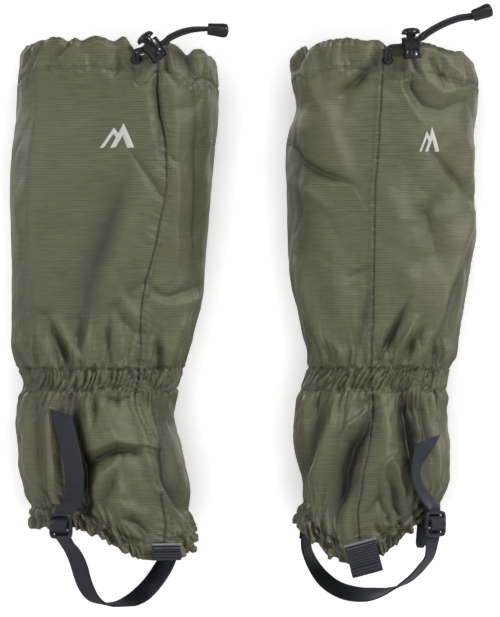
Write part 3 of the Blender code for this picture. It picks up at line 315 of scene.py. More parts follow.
RIGHT = SimpleNamespace(
    prefix="right_", outward=1.0, seed=11, folds=RIGHT_FOLDS,
    toe_angle=-11.0, hem_low=38.0, hem_rise=37.0, hem_rate=0.50,
    section=[
        (20, 98.0, 62.0), (60, 98.5, 63.0), (77.4, 98.9, 63.6), (87.7, 101.9, 60.6),
        (103, 105.8, 62.8), (118.7, 104.9, 65.4), (139, 102.8, 67.5), (160, 101.9, 66.7),
        (180.6, 103.6, 64.9), (191, 105.4, 63.2), (206.4, 109.2, 62.6), (216.7, 111.4, 64.9),
        (232.2, 110.9, 67.9), (252.8, 110.5, 71.8), (273.5, 109.7, 76.1), (294, 110.1, 79.1),
        (314.8, 111.4, 81.3), (356, 110.5, 81.3), (387, 110.1, 81.7), (407.6, 111.4, 80.4),
        (428.3, 115.7, 78.7), (448.9, 114.4, 80.8), (469.6, 111.4, 79.6), (500, 110.0, 78.0)],
    seam=[
        (20, 89.9), (63, 89.9), (83, 88.6), (102, 91.2), (131, 97.8), (168, 103.7),
        (198, 101.7), (222, 101.7), (248, 102.3), (287, 103.0), (329, 103.7), (351, 104.3),
        (382, 107.5), (402, 109.0), (429, 110.9), (447, 112.2), (471, 114.8), (500, 116.0)],
    rim=[
        (30.96, 467.84), (36.12, 474.72), (40.42, 478.332), (45.58, 475.58),
        (50.74, 478.332), (56.76, 481.6), (67.08, 483.32), (78.002, 485.04),
        (98.9, 482.976), (112.66, 482.03), (118.68, 476.44), (125.56, 474.72),
        (134.16, 477.3), (144.48, 480.74), (155.66, 480.31), (168.56, 477.3),
        (182.062, 473.86), (187.48, 473.86), (192.64, 466.98), (197.8, 458.38)],
    mark_centre=(152.65, 400.76), mark_size=(17.5, 21.5),
    buckle=(156.5, -46.0, 72.0), buckle_turn=-43.0,
    loop=[
        (0.0, 51.6), (3.0, 45.0), (9.5, 36.5), (17.5, 28.5), (26.5, 21.8), (38.0, 15.8),
        (51.0, 11.8), (64.0, 10.2), (77.0, 10.4), (90.0, 13.0), (101.5, 18.0), (111.0, 25.5),
        (118.5, 34.5), (123.7, 43.5), (126.3, 51.6)],
    twist=[(0, 0), (28, 2), (46, 24), (62, 44), (85, 46), (108, 30), (126.3, 0)],
    tail=[
        (148.78, 88.58, 5.5, -0.4), (141.04, 99.76, 8.0, -0.8), (136.74, 111.8, 9.0, -1.0),
        (137.6, 123.84, 8.5, -0.8), (142.76, 136.74, 7.0, -0.3), (147.92, 146.2, 6.0, 0.0),
        (152.22, 153.94, 5.4, 0.0)],
    tail_cut=-1.0, tail_slant=27.0,
    # x, y, top and bottom height, half width
    holder_fold=(145.2, -43.5, 76.0, 51.8, 5.4),
    lock=(137.5, -67.5, 482.5), lock_shift=(-1.6, 0.0, -0.8), lock_lean=-15.0,
    cord_tilt=19.0, cord_roll=0.25, lock_exit=(9.0, 2.0),
    cord_run=[(149.8, -67.0, 490.8), (157.2, -66.5, 495.3), (166.0, -66.0, 499.6),
              (177.0, -65.0, 503.4)],
    cord_end=(187.3, -64.0, 505.0), cord_end_dir=(1.0, 0.0, 0.36),
    cord_exit=(117.6, 467.6), cord_mid=(118.0, -62.5, 477.5),
    tab_turn=-6.0, tab_length=25.0, tab_top=1.6, tab_slide=0.0,
    rear_x=(110.6, 112.5))

JOINTS = {j["name"]: j for j in frame["record"]["behaviour"]["joints"]}


# ------------------------------------------------------- curves and vectors
def to_world(points):
    """Millimetres of the pair to metres in the frame."""
    return (np.asarray(points, float) + PAIR_ORIGIN) * MM


def curve(rows, col=1):
    """Smooth interpolation through (station, value...) rows."""
    xs = np.array([r[0] for r in rows], float)
    ys = np.array([r[col] for r in rows], float)
    slope = np.gradient(ys, xs)

    def value(x):
        x = np.clip(x, xs[0], xs[-1])
        i = np.clip(np.searchsorted(xs, x) - 1, 0, len(xs) - 2)
        h = xs[i + 1] - xs[i]
        t = (x - xs[i]) / h
        t2, t3 = t * t, t * t * t
        return ((2 * t3 - 3 * t2 + 1) * ys[i] + (t3 - 2 * t2 + t) * h * slope[i]
                + (-2 * t3 + 3 * t2) * ys[i + 1] + (t3 - t2) * h * slope[i + 1])
    return value


def smooth(start, end, x):
    t = np.clip((x - start) / (end - start), 0.0, 1.0)
    return t * t * (3 - 2 * t)


def bell(distance, width):
    return np.exp(-(distance / width) ** 2)


def unit(v):
    v = np.asarray(v, float)
    return v / np.linalg.norm(v)


def tangents(path):
    step = np.gradient(path, axis=0)
    return step / np.linalg.norm(step, axis=1)[:, None]


def run_length(path):
    """Distance along a path at each of its points."""
    return np.concatenate([[0], np.cumsum(np.linalg.norm(np.diff(path, axis=0), axis=1))])


def square_up(across, along):
    """The across vectors made unit and square to the unit tangents."""
    across = across - along * np.sum(across * along, axis=1)[:, None]
    return across / np.linalg.norm(across, axis=1)[:, None]


def resample(points, step):
    """Catmull-Rom curve through points, evenly spaced by its first 3 columns."""
    p = np.asarray(points, float)
    q = np.vstack([2 * p[0] - p[1], p, 2 * p[-1] - p[-2]])
    out = []
    for i in range(1, len(q) - 2):
        for t in np.linspace(0, 1, 24, endpoint=False):
            out.append(0.5 * ((2 * q[i]) + (-q[i - 1] + q[i + 1]) * t
                       + (2 * q[i - 1] - 5 * q[i] + 4 * q[i + 1] - q[i + 2]) * t * t
                       + (-q[i - 1] + 3 * q[i] - 3 * q[i + 1] + q[i + 2]) * t ** 3))
    out.append(p[-1])
    out = np.array(out)
    distance = run_length(out[:, :3])
    even = np.linspace(0, distance[-1], max(4, int(distance[-1] / step)))
    return np.stack([np.interp(even, distance, column) for column in out.T], axis=1)


# --------------------------------------------------------- repeatable noise
def lattice(ix, iy, seed):
    """Hash of whole-number grid points, -1 to 1."""
    h = (ix.astype(np.int64) * 374761393 + iy.astype(np.int64) * 668265263
         + seed * 2147483647) & 0xFFFFFFFF
    h = ((h ^ (h >> 13)) * 1274126177) & 0xFFFFFFFF
    return ((h ^ (h >> 16)) & 0xFFFF) / 32767.5 - 1.0


def noise(x, y, seed):
    ix, iy = np.floor(x), np.floor(y)
    fx, fy = x - ix, y - iy
    fx, fy = fx * fx * (3 - 2 * fx), fy * fy * (3 - 2 * fy)
    a, b = lattice(ix, iy, seed), lattice(ix + 1, iy, seed)
    c, d = lattice(ix, iy + 1, seed), lattice(ix + 1, iy + 1, seed)
    return (a + (b - a) * fx) * (1 - fy) + (c + (d - c) * fx) * fy


def crumple(x, y, seed):
    """Uneven puffs with tight creases between them, about 0 to 1."""
    n = noise(x, y, seed) + 0.45 * noise(x * 2.1 + 7.3, y * 1.9 + 1.7, seed + 1)
    return np.minimum(np.abs(n) * 1.9, 1.25)


def drift(x, y, width, length, amount, seed):
    """Slow noise with cells width by length mm, up to amount mm."""
    return amount * noise(x / width, y / length, seed)


def pleats(x, y, pitch, length, rise, sink, seed):
    """Crumpled pleats rise mm high on cloth sunk by sink mm."""
    return rise * crumple(x / pitch, y / length, seed) - sink


# --------------------------------------------------------- shape of the leg
# An angle round the leg is 0 at the front (-Y) and grows towards +X.
HALF_DEPTH = curve(DEPTH_ROWS)


def base_point(leg, z, angle):
    """Point (x, y) and outward normal (x, y) of the plain tube."""
    centre, a, b = leg.centre_x(z), leg.half_width(z), HALF_DEPTH(z)
    n = SECTION_POWER
    s, c = np.sin(angle), np.cos(angle)
    r = ((np.abs(s) / a) ** n + (np.abs(c) / b) ** n) ** (-1.0 / n)
    x, y = r * s, -r * c
    nx = np.sign(x) * np.abs(x) ** (n - 1) / a ** n
    ny = np.sign(y) * np.abs(y) ** (n - 1) / b ** n
    length = np.hypot(nx, ny)
    return centre + x, y, nx / length, ny / length


def off_tube(leg, z, angle, offset):
    """Points standing offset mm off the plain tube, and their normals."""
    x, y, nx, ny = base_point(leg, z, angle)
    return (np.stack([x + nx * offset, y + ny * offset, z + 0 * x], axis=-1),
            np.stack([nx, ny, 0 * nx], axis=-1))


def angle_of_x(leg, z, x):
    """Angle on the front half where the tube passes x, by bisection."""
    z = np.asarray(z, float)
    lo, hi = np.full(z.shape, -1.55), np.full(z.shape, 1.55)
    for _ in range(34):
        mid = 0.5 * (lo + hi)
        is_left = base_point(leg, z, mid)[0] < x
        lo, hi = np.where(is_left, mid, lo), np.where(is_left, hi, mid)
    return 0.5 * (lo + hi)


# The leg is wider than deep: an evened angle grows with distance round it.
EVENING = 0.68


def spread(even):
    """Evened angle to angle."""
    return np.arctan2(np.sin(even), EVENING * np.cos(even))


def gather(angle):
    """Angle to evened angle."""
    return np.arctan2(EVENING * np.sin(angle), np.cos(angle))


def girth(angle):
    """Distance round the leg from the front, mm."""
    return gather(angle) * LEG_RADIUS


def rim_height(leg, angle):
    """Height of the top edge round the tube, scalloped by the drawcord."""
    front = leg.rim_z(base_point(leg, np.full_like(angle, 470.0), angle)[0])
    even = gather(angle)
    sway = 4.0 * noise(even * 3.3, 2.0, leg.seed) + 2.0 * noise(even * 8.0, 5.0, leg.seed)
    back = 472.0 - 5.0 * np.sin(angle) + sway
    weight = smooth(-0.30, 0.05, np.cos(angle))
    return back * (1 - weight) + front * weight


def hem_height(leg, angle):
    """Height of the bottom edge, lowest at the toe."""
    t = np.minimum(1.0, (1 - np.cos(angle - math.radians(leg.toe_angle))) / leg.hem_rate)
    return leg.hem_low + leg.hem_rise * t * (1.2 - 0.2 * t)


def hem_ease(leg, angle):
    """0 across the toe tab, 1 where the hem is gathered on its elastic."""
    toe = angle - math.radians(leg.toe_angle)
    return smooth(0.14, 0.40, np.abs(np.arctan2(np.sin(toe), np.cos(toe))))


# --------------------------------------------------------- relief of the cloth
def fold_height(folds, x, z):
    """Sum of the front folds at the points x, z."""
    total = np.zeros_like(x)
    for width_left, width_right, path in folds:
        reach = 3.2 * max(width_left, width_right)
        xs, zs, _ = zip(*path)
        near = ((x > min(xs) - reach) & (x < max(xs) + reach)
                & (z > min(zs) - reach) & (z < max(zs) + reach))
        if not near.any():
            continue
        x_near, z_near = x[near], z[near]
        best, value = np.full(x_near.shape, 1e9), np.zeros_like(x_near)
        for (x0, z0, h0), (x1, z1, h1) in zip(path, path[1:]):
            dx, dz = x1 - x0, z1 - z0
            t = np.clip(((x_near - x0) * dx + (z_near - z0) * dz) / (dx * dx + dz * dz), 0, 1)
            qx, qz = x_near - (x0 + t * dx), z_near - (z0 + t * dz)
            distance = np.hypot(qx, qz)
            on_right = dx * qz - dz * qx < 0
            e = distance / np.where(on_right, width_right, width_left)
            lift = h0 + (h1 - h0) * t
            height = lift * np.where(lift < 0, np.exp(-1.25 * e ** 1.3),
                                     np.exp(-1.15 * e ** 1.65))
            # at a shared corner the earlier stretch wins the tie
            closer = distance < best - 1e-9
            best = np.where(closer, distance, best)
            value = np.where(closer, height, value)
        total[near] += value
    return total


def ankle_relief(seed, s, z, warp):
    """Relief of the ankle, its band's weight and its deep puckers."""
    row_low, row_top = ANKLE_ROWS
    top = row_top + drift(s, 0.0, width=17, length=1, amount=1.3, seed=seed + 2)
    low = row_low + drift(s, 3.0, width=17, length=1, amount=1.3, seed=seed + 2)
    lean = s - 0.42 * (z - ANKLE_MID) + warp
    band = smooth(low - 1.5, low + 3, z) * (1 - smooth(top - 3, top + 1.5, z))
    puffs = band * pleats(lean, z, pitch=4.6, length=15, rise=3.8, sink=1.4, seed=seed + 6)
    rows = bell(z - top, 1.9) + bell(z - low, 1.9)
    pucker = rows * pleats(lean, z, pitch=3.6, length=11, rise=2.4, sink=1.9, seed=seed + 5)
    # gathers that fan out above and below the ankle
    over, under = np.maximum(z - top, 0), np.maximum(low - z, 0)
    above = np.exp(-over / 13.0) * smooth(top - 1, top + 3, z)
    below = np.exp(-under / 17.0) * (1 - smooth(low - 3, low + 1, z))
    far_above = np.exp(-over / 27.0) * smooth(top - 1, top + 8, z)
    far_below = np.exp(-under / 30.0) * (1 - smooth(low - 8, low + 1, z))
    sway = s + warp + drift(s, z, width=24, length=30, amount=3.0, seed=seed + 33)
    fans = (
        above * pleats(sway, z, pitch=5.4, length=20, rise=2.5, sink=0.6, seed=seed + 7)
        + far_above * pleats(sway, z, pitch=11, length=44, rise=3.0, sink=1.0, seed=seed + 34)
        + below * pleats(sway, z, pitch=5.6, length=22, rise=2.8, sink=0.7, seed=seed + 9)
        + far_below * pleats(sway, z, pitch=11.5, length=46, rise=3.2, sink=1.0,
                             seed=seed + 35))
    return puffs + pucker + fans, band, (rows > 0.45) * (pucker < -0.9)


def hem_relief(leg, s, z, angle, up):
    """Tight ruffles on the bottom elastic, none across the toe tab."""
    seed, ease = leg.seed, hem_ease(leg, angle)
    lean = s + 0.25 * up + drift(s, up, width=11, length=30, amount=2.2, seed=seed + 9)
    ruffle = (1 - smooth(12.0, 17.0, up)) \
        * pleats(lean, up, pitch=5.4, length=14, rise=6.4, sink=1.0, seed=seed + 12)
    stitch = -2.2 * bell(up - HEM_STITCH, 2.0)
    climb = np.maximum(up - HEM_STITCH, 0)
    near = smooth(12.0, 17.0, up) * np.exp(-climb / 13.0) \
        * pleats(lean, up, pitch=6.0, length=22, rise=4.6, sink=1.0, seed=seed + 14)
    sway = s + drift(s, z, width=24, length=30, amount=3.0, seed=seed + 36)
    far = smooth(14.0, 24.0, up) * np.exp(-climb / 26.0) \
        * pleats(sway, up, pitch=11.5, length=44, rise=3.0, sink=1.0, seed=seed + 37)
    flare = 1.6 * bell(up + 1.0, 3.5)
    return ease * (ruffle + stitch + near + far + flare)


def rim_relief(seed, s, down, warp):
    """Soft scallops pulled in by the cord, and the top hem's stitch line."""
    wave = (s + drift(s, 0.0, width=30, length=1, amount=6.0, seed=seed + 15)) / 27.0
    scallop = (1 - smooth(10.0, 44.0, down)) \
        * (2.2 * np.abs(np.sin(np.pi * wave)) ** 0.9 - 1.3)
    tiny = (1 - smooth(16.0, 38.0, down)) \
        * pleats(s + 0.15 * down, down, pitch=9, length=24, rise=1.5, sink=0.6,
                 seed=seed + 16) \
        * (0.55 + drift(s, 0.0, width=34, length=1, amount=0.6, seed=seed + 31))
    line = -bell(down - RIM_STITCH, 1.5)
    tuck = bell(down - 25.0, 6.0) \
        * pleats(s + warp, down, pitch=4.6, length=11, rise=0.8, sink=0.3, seed=seed + 17)
    roll = -3.4 * np.clip(1 - down / 5.0, 0, 1) ** 2
    return scallop + tiny + line + tuck + roll


def slack_relief(seed, s, z, front):
    """Soft unevenness everywhere and long drags at the back."""
    soft = drift(s, z, width=55, length=70, amount=1.5, seed=seed + 20) \
        + 0.55 * noise(s / 21.0 + 0.3, z / 34.0, seed + 21) \
        + drift(s, z, width=8.5, length=13, amount=0.22, seed=seed + 22) \
        + pleats(s + 0.5 * z, z - 0.4 * s, pitch=46, length=60, rise=1.0, sink=0,
                 seed=seed + 26) \
        + pleats(s - 0.7 * z, z + 0.3 * s, pitch=24, length=33, rise=0.5, sink=0,
                 seed=seed + 28)
    drag = drift(s + 0.5 * z, z, width=30, length=90, amount=1.8, seed=seed + 23) \
        + drift(s - 0.6 * z, z, width=16, length=60, amount=1.0, seed=seed + 24)
    return soft + (1 - front) * drag


def seam_relief(seed, z, inward, front, band):
    """Flat felled front seam; inward is the distance to its inner side."""
    felled = 0.6 * smooth(-0.4, 0.5, inward) * (1 - smooth(4.2, 5.8, inward)) \
        - bell(inward, 0.75)
    gathers = 0.7 * crumple(inward / 22.0 + 3.0, (z + 0.35 * inward) / 5.2, seed + 18) - 0.2
    return front * (felled * (1 - 0.5 * band) + bell(inward, 9.0) * gathers)


def displacement(leg, z, angle, rim_z, hem_z):
    """How far the cloth stands off the plain tube, and its crease depth for painted shade and
    highlight.
    """
    seed, s = leg.seed, girth(angle)
    front = smooth(-0.05, 0.30, np.cos(angle))
    fold = fold_height(leg.folds, base_point(leg, z, angle)[0], z) \
        * front * (1.4 + 0.55 * smooth(203, 232, z))
    warp = drift(s, z, width=15, length=60, amount=2.6, seed=seed + 4)
    ankle, band, puckered = ankle_relief(seed, s, z, warp)
    inward = (base_point(leg, z, angle)[0] - leg.seam_x(z)) * -leg.outward
    total = fold + ankle + hem_relief(leg, s, z, angle, z - hem_z) \
        + rim_relief(seed, s, rim_z - z, warp) \
        + slack_relief(seed, s, z, front) * (1 - 0.7 * band) \
        + seam_relief(seed, z, inward, front, band)
    # a plain seam each side of the rear zip
    rear = np.abs(np.arctan2(np.sin(angle - np.pi), np.cos(angle - np.pi))) * HALF_DEPTH(z)
    total = total + np.where(z > 207, -0.6 * bell(rear - 8.0, 1.0), 0.0)
    # flat under the slider's last stretch
    under_zip = np.exp(-(rear / 9.0) ** 4) * smooth(198, 204, z) * (1 - smooth(264, 282, z))
    total = total - under_zip * np.maximum(total + 1.4, 0.0)
    # the cloth closes on the elastic ring inside it but never crosses it
    ring = np.exp(-((z - ANKLE_MID) / 13.0) ** 4)
    total = np.maximum(total, -1.0 * ring - 14 * (1 - ring))
    # crease depth for the painted shade in creases, in the front seam's groove and in the ankle
    # puckers, and for the painted highlight on ridges
    cavity = np.clip(fold, -9, 4) - 5.0 * bell(inward, 0.8) * front - 1.5 * puckered
    return total, cavity


def edge_lift(leg, s, angle, up, down):
    """Small rises and dips of the two gathered edges."""
    hem = (1 - smooth(0.0, 16.0, up)) * hem_ease(leg, angle) \
        * (2.6 * (crumple(s / 5.4, 0.2, leg.seed + 12) - 0.5)
           + 1.6 * noise(s / 10.0, 0.0, leg.seed + 30))
    rim = (1 - smooth(0.0, 18.0, down)) * 0.8 * (crumple(s / 6.5, 2.0, leg.seed + 16) - 0.5)
    return rim - hem


def surface(leg, z, angle, offset=0.0):
    """Cloth points before fitting, their normals and crease depth."""
    z, angle = np.atleast_1d(z), np.atleast_1d(angle)
    relief, cavity = displacement(leg, z, angle, rim_height(leg, angle),
                                  hem_height(leg, angle))
    points, normals = off_tube(leg, z, angle, relief + offset)
    return points, normals, cavity


def measure_outline(leg):
    """Record how far the folds push each side out."""
    zs = np.linspace(86, 462, 189)
    angles = spread(np.linspace(-math.pi, math.pi, 361))
    z, angle = np.meshgrid(zs, angles, indexing="ij")
    x = surface(leg, z, angle)[0][..., 0]
    inside = (z > hem_height(leg, angle) + 1) & (z < rim_height(leg, angle) - 2)
    kernel = np.exp(-(np.arange(-12, 13) / 4.0) ** 2)
    kernel /= kernel.sum()
    low = np.where(inside, x, 1e6).min(axis=1)
    high = np.where(inside, x, -1e6).max(axis=1)
    leg.outline = (zs, *(np.convolve(np.pad(side, 12, mode="edge"), kernel, "valid")
                         for side in (low, high)))


def fitted(leg, points):
    """Draw points back in x so that the outline keeps the section's width."""
    zs, low, high = leg.outline
    z = np.clip(points[..., 2], zs[0], zs[-1])
    low, high = np.interp(z, zs, low), np.interp(z, zs, high)
    want_low = leg.centre_x(z) - leg.half_width(z) + 0.6
    want_high = leg.centre_x(z) + leg.half_width(z) - 0.6
    points[..., 0] = want_low + (points[..., 0] - low) * (want_high - want_low) / (high - low)
    return points


def skin(leg, z, angle, offset):
    """Points and normals on the finished cloth."""
    points, normals, _ = surface(leg, z, angle, offset)
    return fitted(leg, points), normals


# ------------------------------------------------------------- mesh helpers
def link(name, data):
    obj = bpy.data.objects.new(name, data)
    bpy.context.scene.collection.objects.link(obj)
    return obj


def dress(obj, material):
    obj.data.materials.clear()
    obj.data.materials.append(material)
    return obj


def mesh_object(name, points, faces, uvs=None, material=None, sharp_deg=None):
    """Smooth mesh from points in mm, with one UV per face corner."""
    mesh = bpy.data.meshes.new(name)
    mesh.from_pydata(to_world(points).tolist(), [], faces)
    if uvs is not None:
        layer = mesh.uv_layers.new(name="UVMap")
        layer.data.foreach_set("uv", np.asarray(uvs).astype(np.float32).ravel())
    mesh.shade_smooth()
    if sharp_deg:
        mesh.set_sharp_from_angle(angle=math.radians(sharp_deg))
    obj = link(name, mesh)
    return dress(obj, material) if material else obj


def move_points(obj, points):
    obj.data.vertices.foreach_set("co", to_world(points).astype(np.float32).ravel())
    obj.data.update()


def cell_corners(grid, beside, flip=False):
    """Corners of each cell, from a grid and the same grid one column on."""
    around = [grid[:-1], beside[:-1], beside[1:], grid[1:]]
    if flip:
        around = around[:1] + around[:0:-1]
    return np.stack(around, axis=2)


def grid_object(name, points, uv, material, flip=False):
    """Quad mesh from a (rows, columns, 3) array."""
    index = np.arange(points.shape[0] * points.shape[1]).reshape(points.shape[:2])
    quads = cell_corners(index[:, :-1], index[:, 1:], flip).reshape(-1, 4)
    return mesh_object(name, points.reshape(-1, 3), quads.tolist(),
                       uv.reshape(-1, 2)[quads.ravel()], material)


def tube(rings, flip=False):
    """Points and faces of a capped tube from (rings, sides, 3) points."""
    index = np.arange(rings.shape[0] * rings.shape[1]).reshape(rings.shape[:2])
    quads = cell_corners(index, np.roll(index, -1, axis=1), flip).reshape(-1, 4)
    caps = [index[0], index[-1][::-1]] if flip else [index[0][::-1], index[-1]]
    return rings.reshape(-1, 3), quads.tolist() + [cap.tolist() for cap in caps]


def band_profile(edge_steps=3):
    """Section of flat webbing: across, through, and rounded-edge factors."""
    across = np.linspace(-1, 1, 9)
    turn = math.pi * np.arange(1, edge_steps + 1) / (edge_steps + 1)
    rows = [(t, 1.0, 0.0) for t in across]
    rows += [(1.0, math.sin(math.pi / 2 - a), math.cos(math.pi / 2 - a)) for a in turn]
    rows += [(t, -1.0, 0.0) for t in across[::-1]]
    rows += [(-1.0, math.sin(-math.pi / 2 - a), math.cos(-math.pi / 2 - a)) for a in turn]
    return np.array(rows).T


def band_rings(path, widths, thick, normals):
    """Cross sections of flat webbing along a path."""
    across, through, edge = band_profile()
    half = np.linalg.norm(widths, axis=1)
    radius = thick / 2
    inner = half - radius * 0.8
    return path[:, None] \
        + (widths / half[:, None])[:, None] * (inner[:, None] * across
                                               + edge * radius * 0.8)[..., None] \
        + normals[:, None] * (through * radius)[:, None]


def sweep(name, path, widths, thick, normals, material):
    """Flat webbing with rounded edges; the width vectors are half its width."""
    points, faces = tube(band_rings(path, widths, thick, normals))
    across = band_profile()[0]
    u = np.append(across, across[0]) * np.linalg.norm(widths, axis=1)[:, None] * UV_PER_MM
    v = run_length(path)[:, None] * UV_PER_MM
    uv = np.stack(np.broadcast_arrays(u, v), axis=-1)
    uvs = np.concatenate([cell_corners(uv[:, :-1], uv[:, 1:]).reshape(-1, 2),
                          uv[0, :-1][::-1], uv[-1, :-1]])
    return mesh_object(name, points, faces, uvs, material, sharp_deg=50)


def cord(path, radius, sides=14, braid=0.10):
    """Points, faces and UVs of a capped cord with a slight diamond relief."""
    path = np.asarray(path, float)
    along = tangents(path)
    side = np.cross(along[0], UP)
    if np.linalg.norm(side) < 1e-3:
        side = np.cross(along[0], RIGHTWARD)
    side = unit(side)
    normal = np.zeros_like(path)
    for i in range(len(path)):
        side = unit(side - along[i] * side.dot(along[i]))
        normal[i] = side
    third = np.cross(along, normal)
    angle, distance = np.meshgrid(np.linspace(0, 2 * np.pi, sides + 1), run_length(path))
    r = radius + braid * np.cos(4 * angle + distance * 1.9) * np.cos(4 * angle - distance * 1.9)
    rings = path[:, None] + normal[:, None] * (r * np.cos(angle))[..., None] \
        + third[:, None] * (r * np.sin(angle))[..., None]
    points, faces = tube(rings[:, :-1], flip=True)
    uv = np.stack([angle * radius * UV_PER_MM, distance * UV_PER_MM], axis=-1)
    uvs = np.concatenate([cell_corners(uv[:, :-1], uv[:, 1:], flip=True).reshape(-1, 2),
                          np.zeros((2 * sides, 2))])
    return points, faces, uvs


def merged(name, parts, material):
    """One object from several (points, faces) parts."""
    points, faces, offset = [], [], 0
    for part_points, part_faces in parts:
        points.append(part_points)
        faces += [[v + offset for v in face] for face in part_faces]
        offset += len(part_points)
    return mesh_object(name, np.concatenate(points), faces, material=material)


def turned(name, profile, origin, axis, side, steps, radius_at=None):
    """Turned solid: (radius, height) profile that starts and ends on the axis."""
    axis = unit(axis)
    side = unit(side - axis * np.dot(side, axis))
    third = np.cross(axis, side)
    angles = np.linspace(0, 2 * np.pi, steps, endpoint=False)
    points, faces, rows = [], [], []
    for r, h in profile:
        centre = origin + axis * h
        start = len(points)
        if r <= 1e-6:
            points.append(centre)
        else:
            for a in angles:
                reach = radius_at(a, r, h) if radius_at else r
                points.append(centre + (side * math.cos(a) + third * math.sin(a)) * reach)
        rows.append(range(start, len(points)))
    for low, high in zip(rows, rows[1:]):
        for j in range(steps):
            k = (j + 1) % steps
            if len(low) == 1:
                faces.append((low[0], high[j], high[k]))
            elif len(high) == 1:
                faces.append((low[j], high[0], low[k]))
            else:
                faces.append((low[j], high[j], high[k], low[k]))
    return mesh_object(name, points, faces, sharp_deg=42)


def fillet(centre_r, centre_h, radius, start_deg, end_deg, steps):
    """Arc of profile points."""
    angles = [math.radians(start_deg + (end_deg - start_deg) * k / steps)
              for k in range(steps + 1)]
    return [(centre_r + radius * math.cos(a), centre_h + radius * math.sin(a)) for a in angles]


def box_cutter(name, origin, axes, size):
    """Cutter box; axes are its three unit directions."""
    mesh = bpy.data.meshes.new(name)
    bm = bmesh.new()
    bmesh.ops.create_cube(bm, size=1.0)
    turn = Matrix([Vector(axis) * length * MM for axis, length in zip(axes, size)])
    bm.transform(Matrix.Translation(Vector(to_world(origin))) @ turn.transposed().to_4x4())
    bm.to_mesh(mesh)
    bm.free()
    return link(name, mesh)


def fix_normals(obj):
    bm = bmesh.new()
    bm.from_mesh(obj.data)
    bmesh.ops.recalc_face_normals(bm, faces=bm.faces)
    bm.to_mesh(obj.data)
    bm.free()


def carve(obj, cutters, operation="DIFFERENCE"):
    """Apply booleans with the cutters, then remove them."""
    for cutter in cutters:
        mod = obj.modifiers.new(cutter.name, "BOOLEAN")
        mod.operation = operation
        mod.solver = "EXACT"
        mod.object = cutter
    bpy.context.view_layer.update()
    depsgraph = bpy.context.evaluated_depsgraph_get()
    result = bpy.data.meshes.new_from_object(obj.evaluated_get(depsgraph))
    obj.modifiers.clear()
    old = obj.data
    obj.data = result
    bpy.data.meshes.remove(old)
    for cutter in cutters:
        data = cutter.data
        bpy.data.objects.remove(cutter, do_unlink=True)
        bpy.data.meshes.remove(data)
    obj.data.shade_smooth()
    obj.data.set_sharp_from_angle(angle=math.radians(38))


# ---------------------------------------------------------------- materials
class Shader:
    """A material being built round its Principled surface."""

    def __init__(self, name):
        self.material = bpy.data.materials.new(name)
        self.material.use_nodes = True
        self.tree = self.material.node_tree
        self.surface = self.tree.nodes["Principled BSDF"]

    def feed(self, target, value):
        """Link a socket to an input, or set the input's value."""
        if isinstance(value, bpy.types.NodeSocket):
            self.tree.links.new(value, target)
        else:
            target.default_value = value

    def add(self, kind, vector=None, **values):
        """A node with its inputs or settings given by name."""
        made = self.tree.nodes.new("ShaderNode" + kind)
        for key, value in values.items():
            if key in made.inputs:
                made.inputs[key].default_value = value
            else:
                setattr(made, key, value)
        if vector:
            self.feed(made.inputs["Vector"], vector)
        return made

    def math(self, operation, *values, clamp=False):
        made = self.add("Math", operation=operation, use_clamp=clamp)
        for socket, value in zip(made.inputs, values):
            self.feed(socket, value)
        return made.outputs[0]

    def wave(self, coordinate, pitch):
        """Sine across a UV coordinate, pitch in mm."""
        return self.math("SINE", self.math("MULTIPLY", coordinate, 2 * math.pi * 100 / pitch))

    def mix(self, factor, low, high):
        """Colour from low at factor 0 to high at 1."""
        made = self.add("Mix", data_type="RGBA")
        self.feed(made.inputs[0], factor)
        for socket, value in ((made.inputs[6], low), (made.inputs[7], high)):
            self.feed(socket, value + (1.0,) if isinstance(value, tuple) else value)
        return made.outputs[2]

    def set(self, inputs):
        for name, value in inputs.items():
            self.feed(self.surface.inputs[name], value)

    def bump(self, height, strength, distance):
        made = self.add("Bump", Strength=strength, Distance=distance)
        self.feed(made.inputs["Height"], height)
        self.set({"Normal": made.outputs[0]})


def scaled(colour, factor, lift=0.0):
    return tuple(c * factor + lift for c in colour)


def capped(colour, factor):
    return tuple(min(1.0, c * factor) for c in colour)


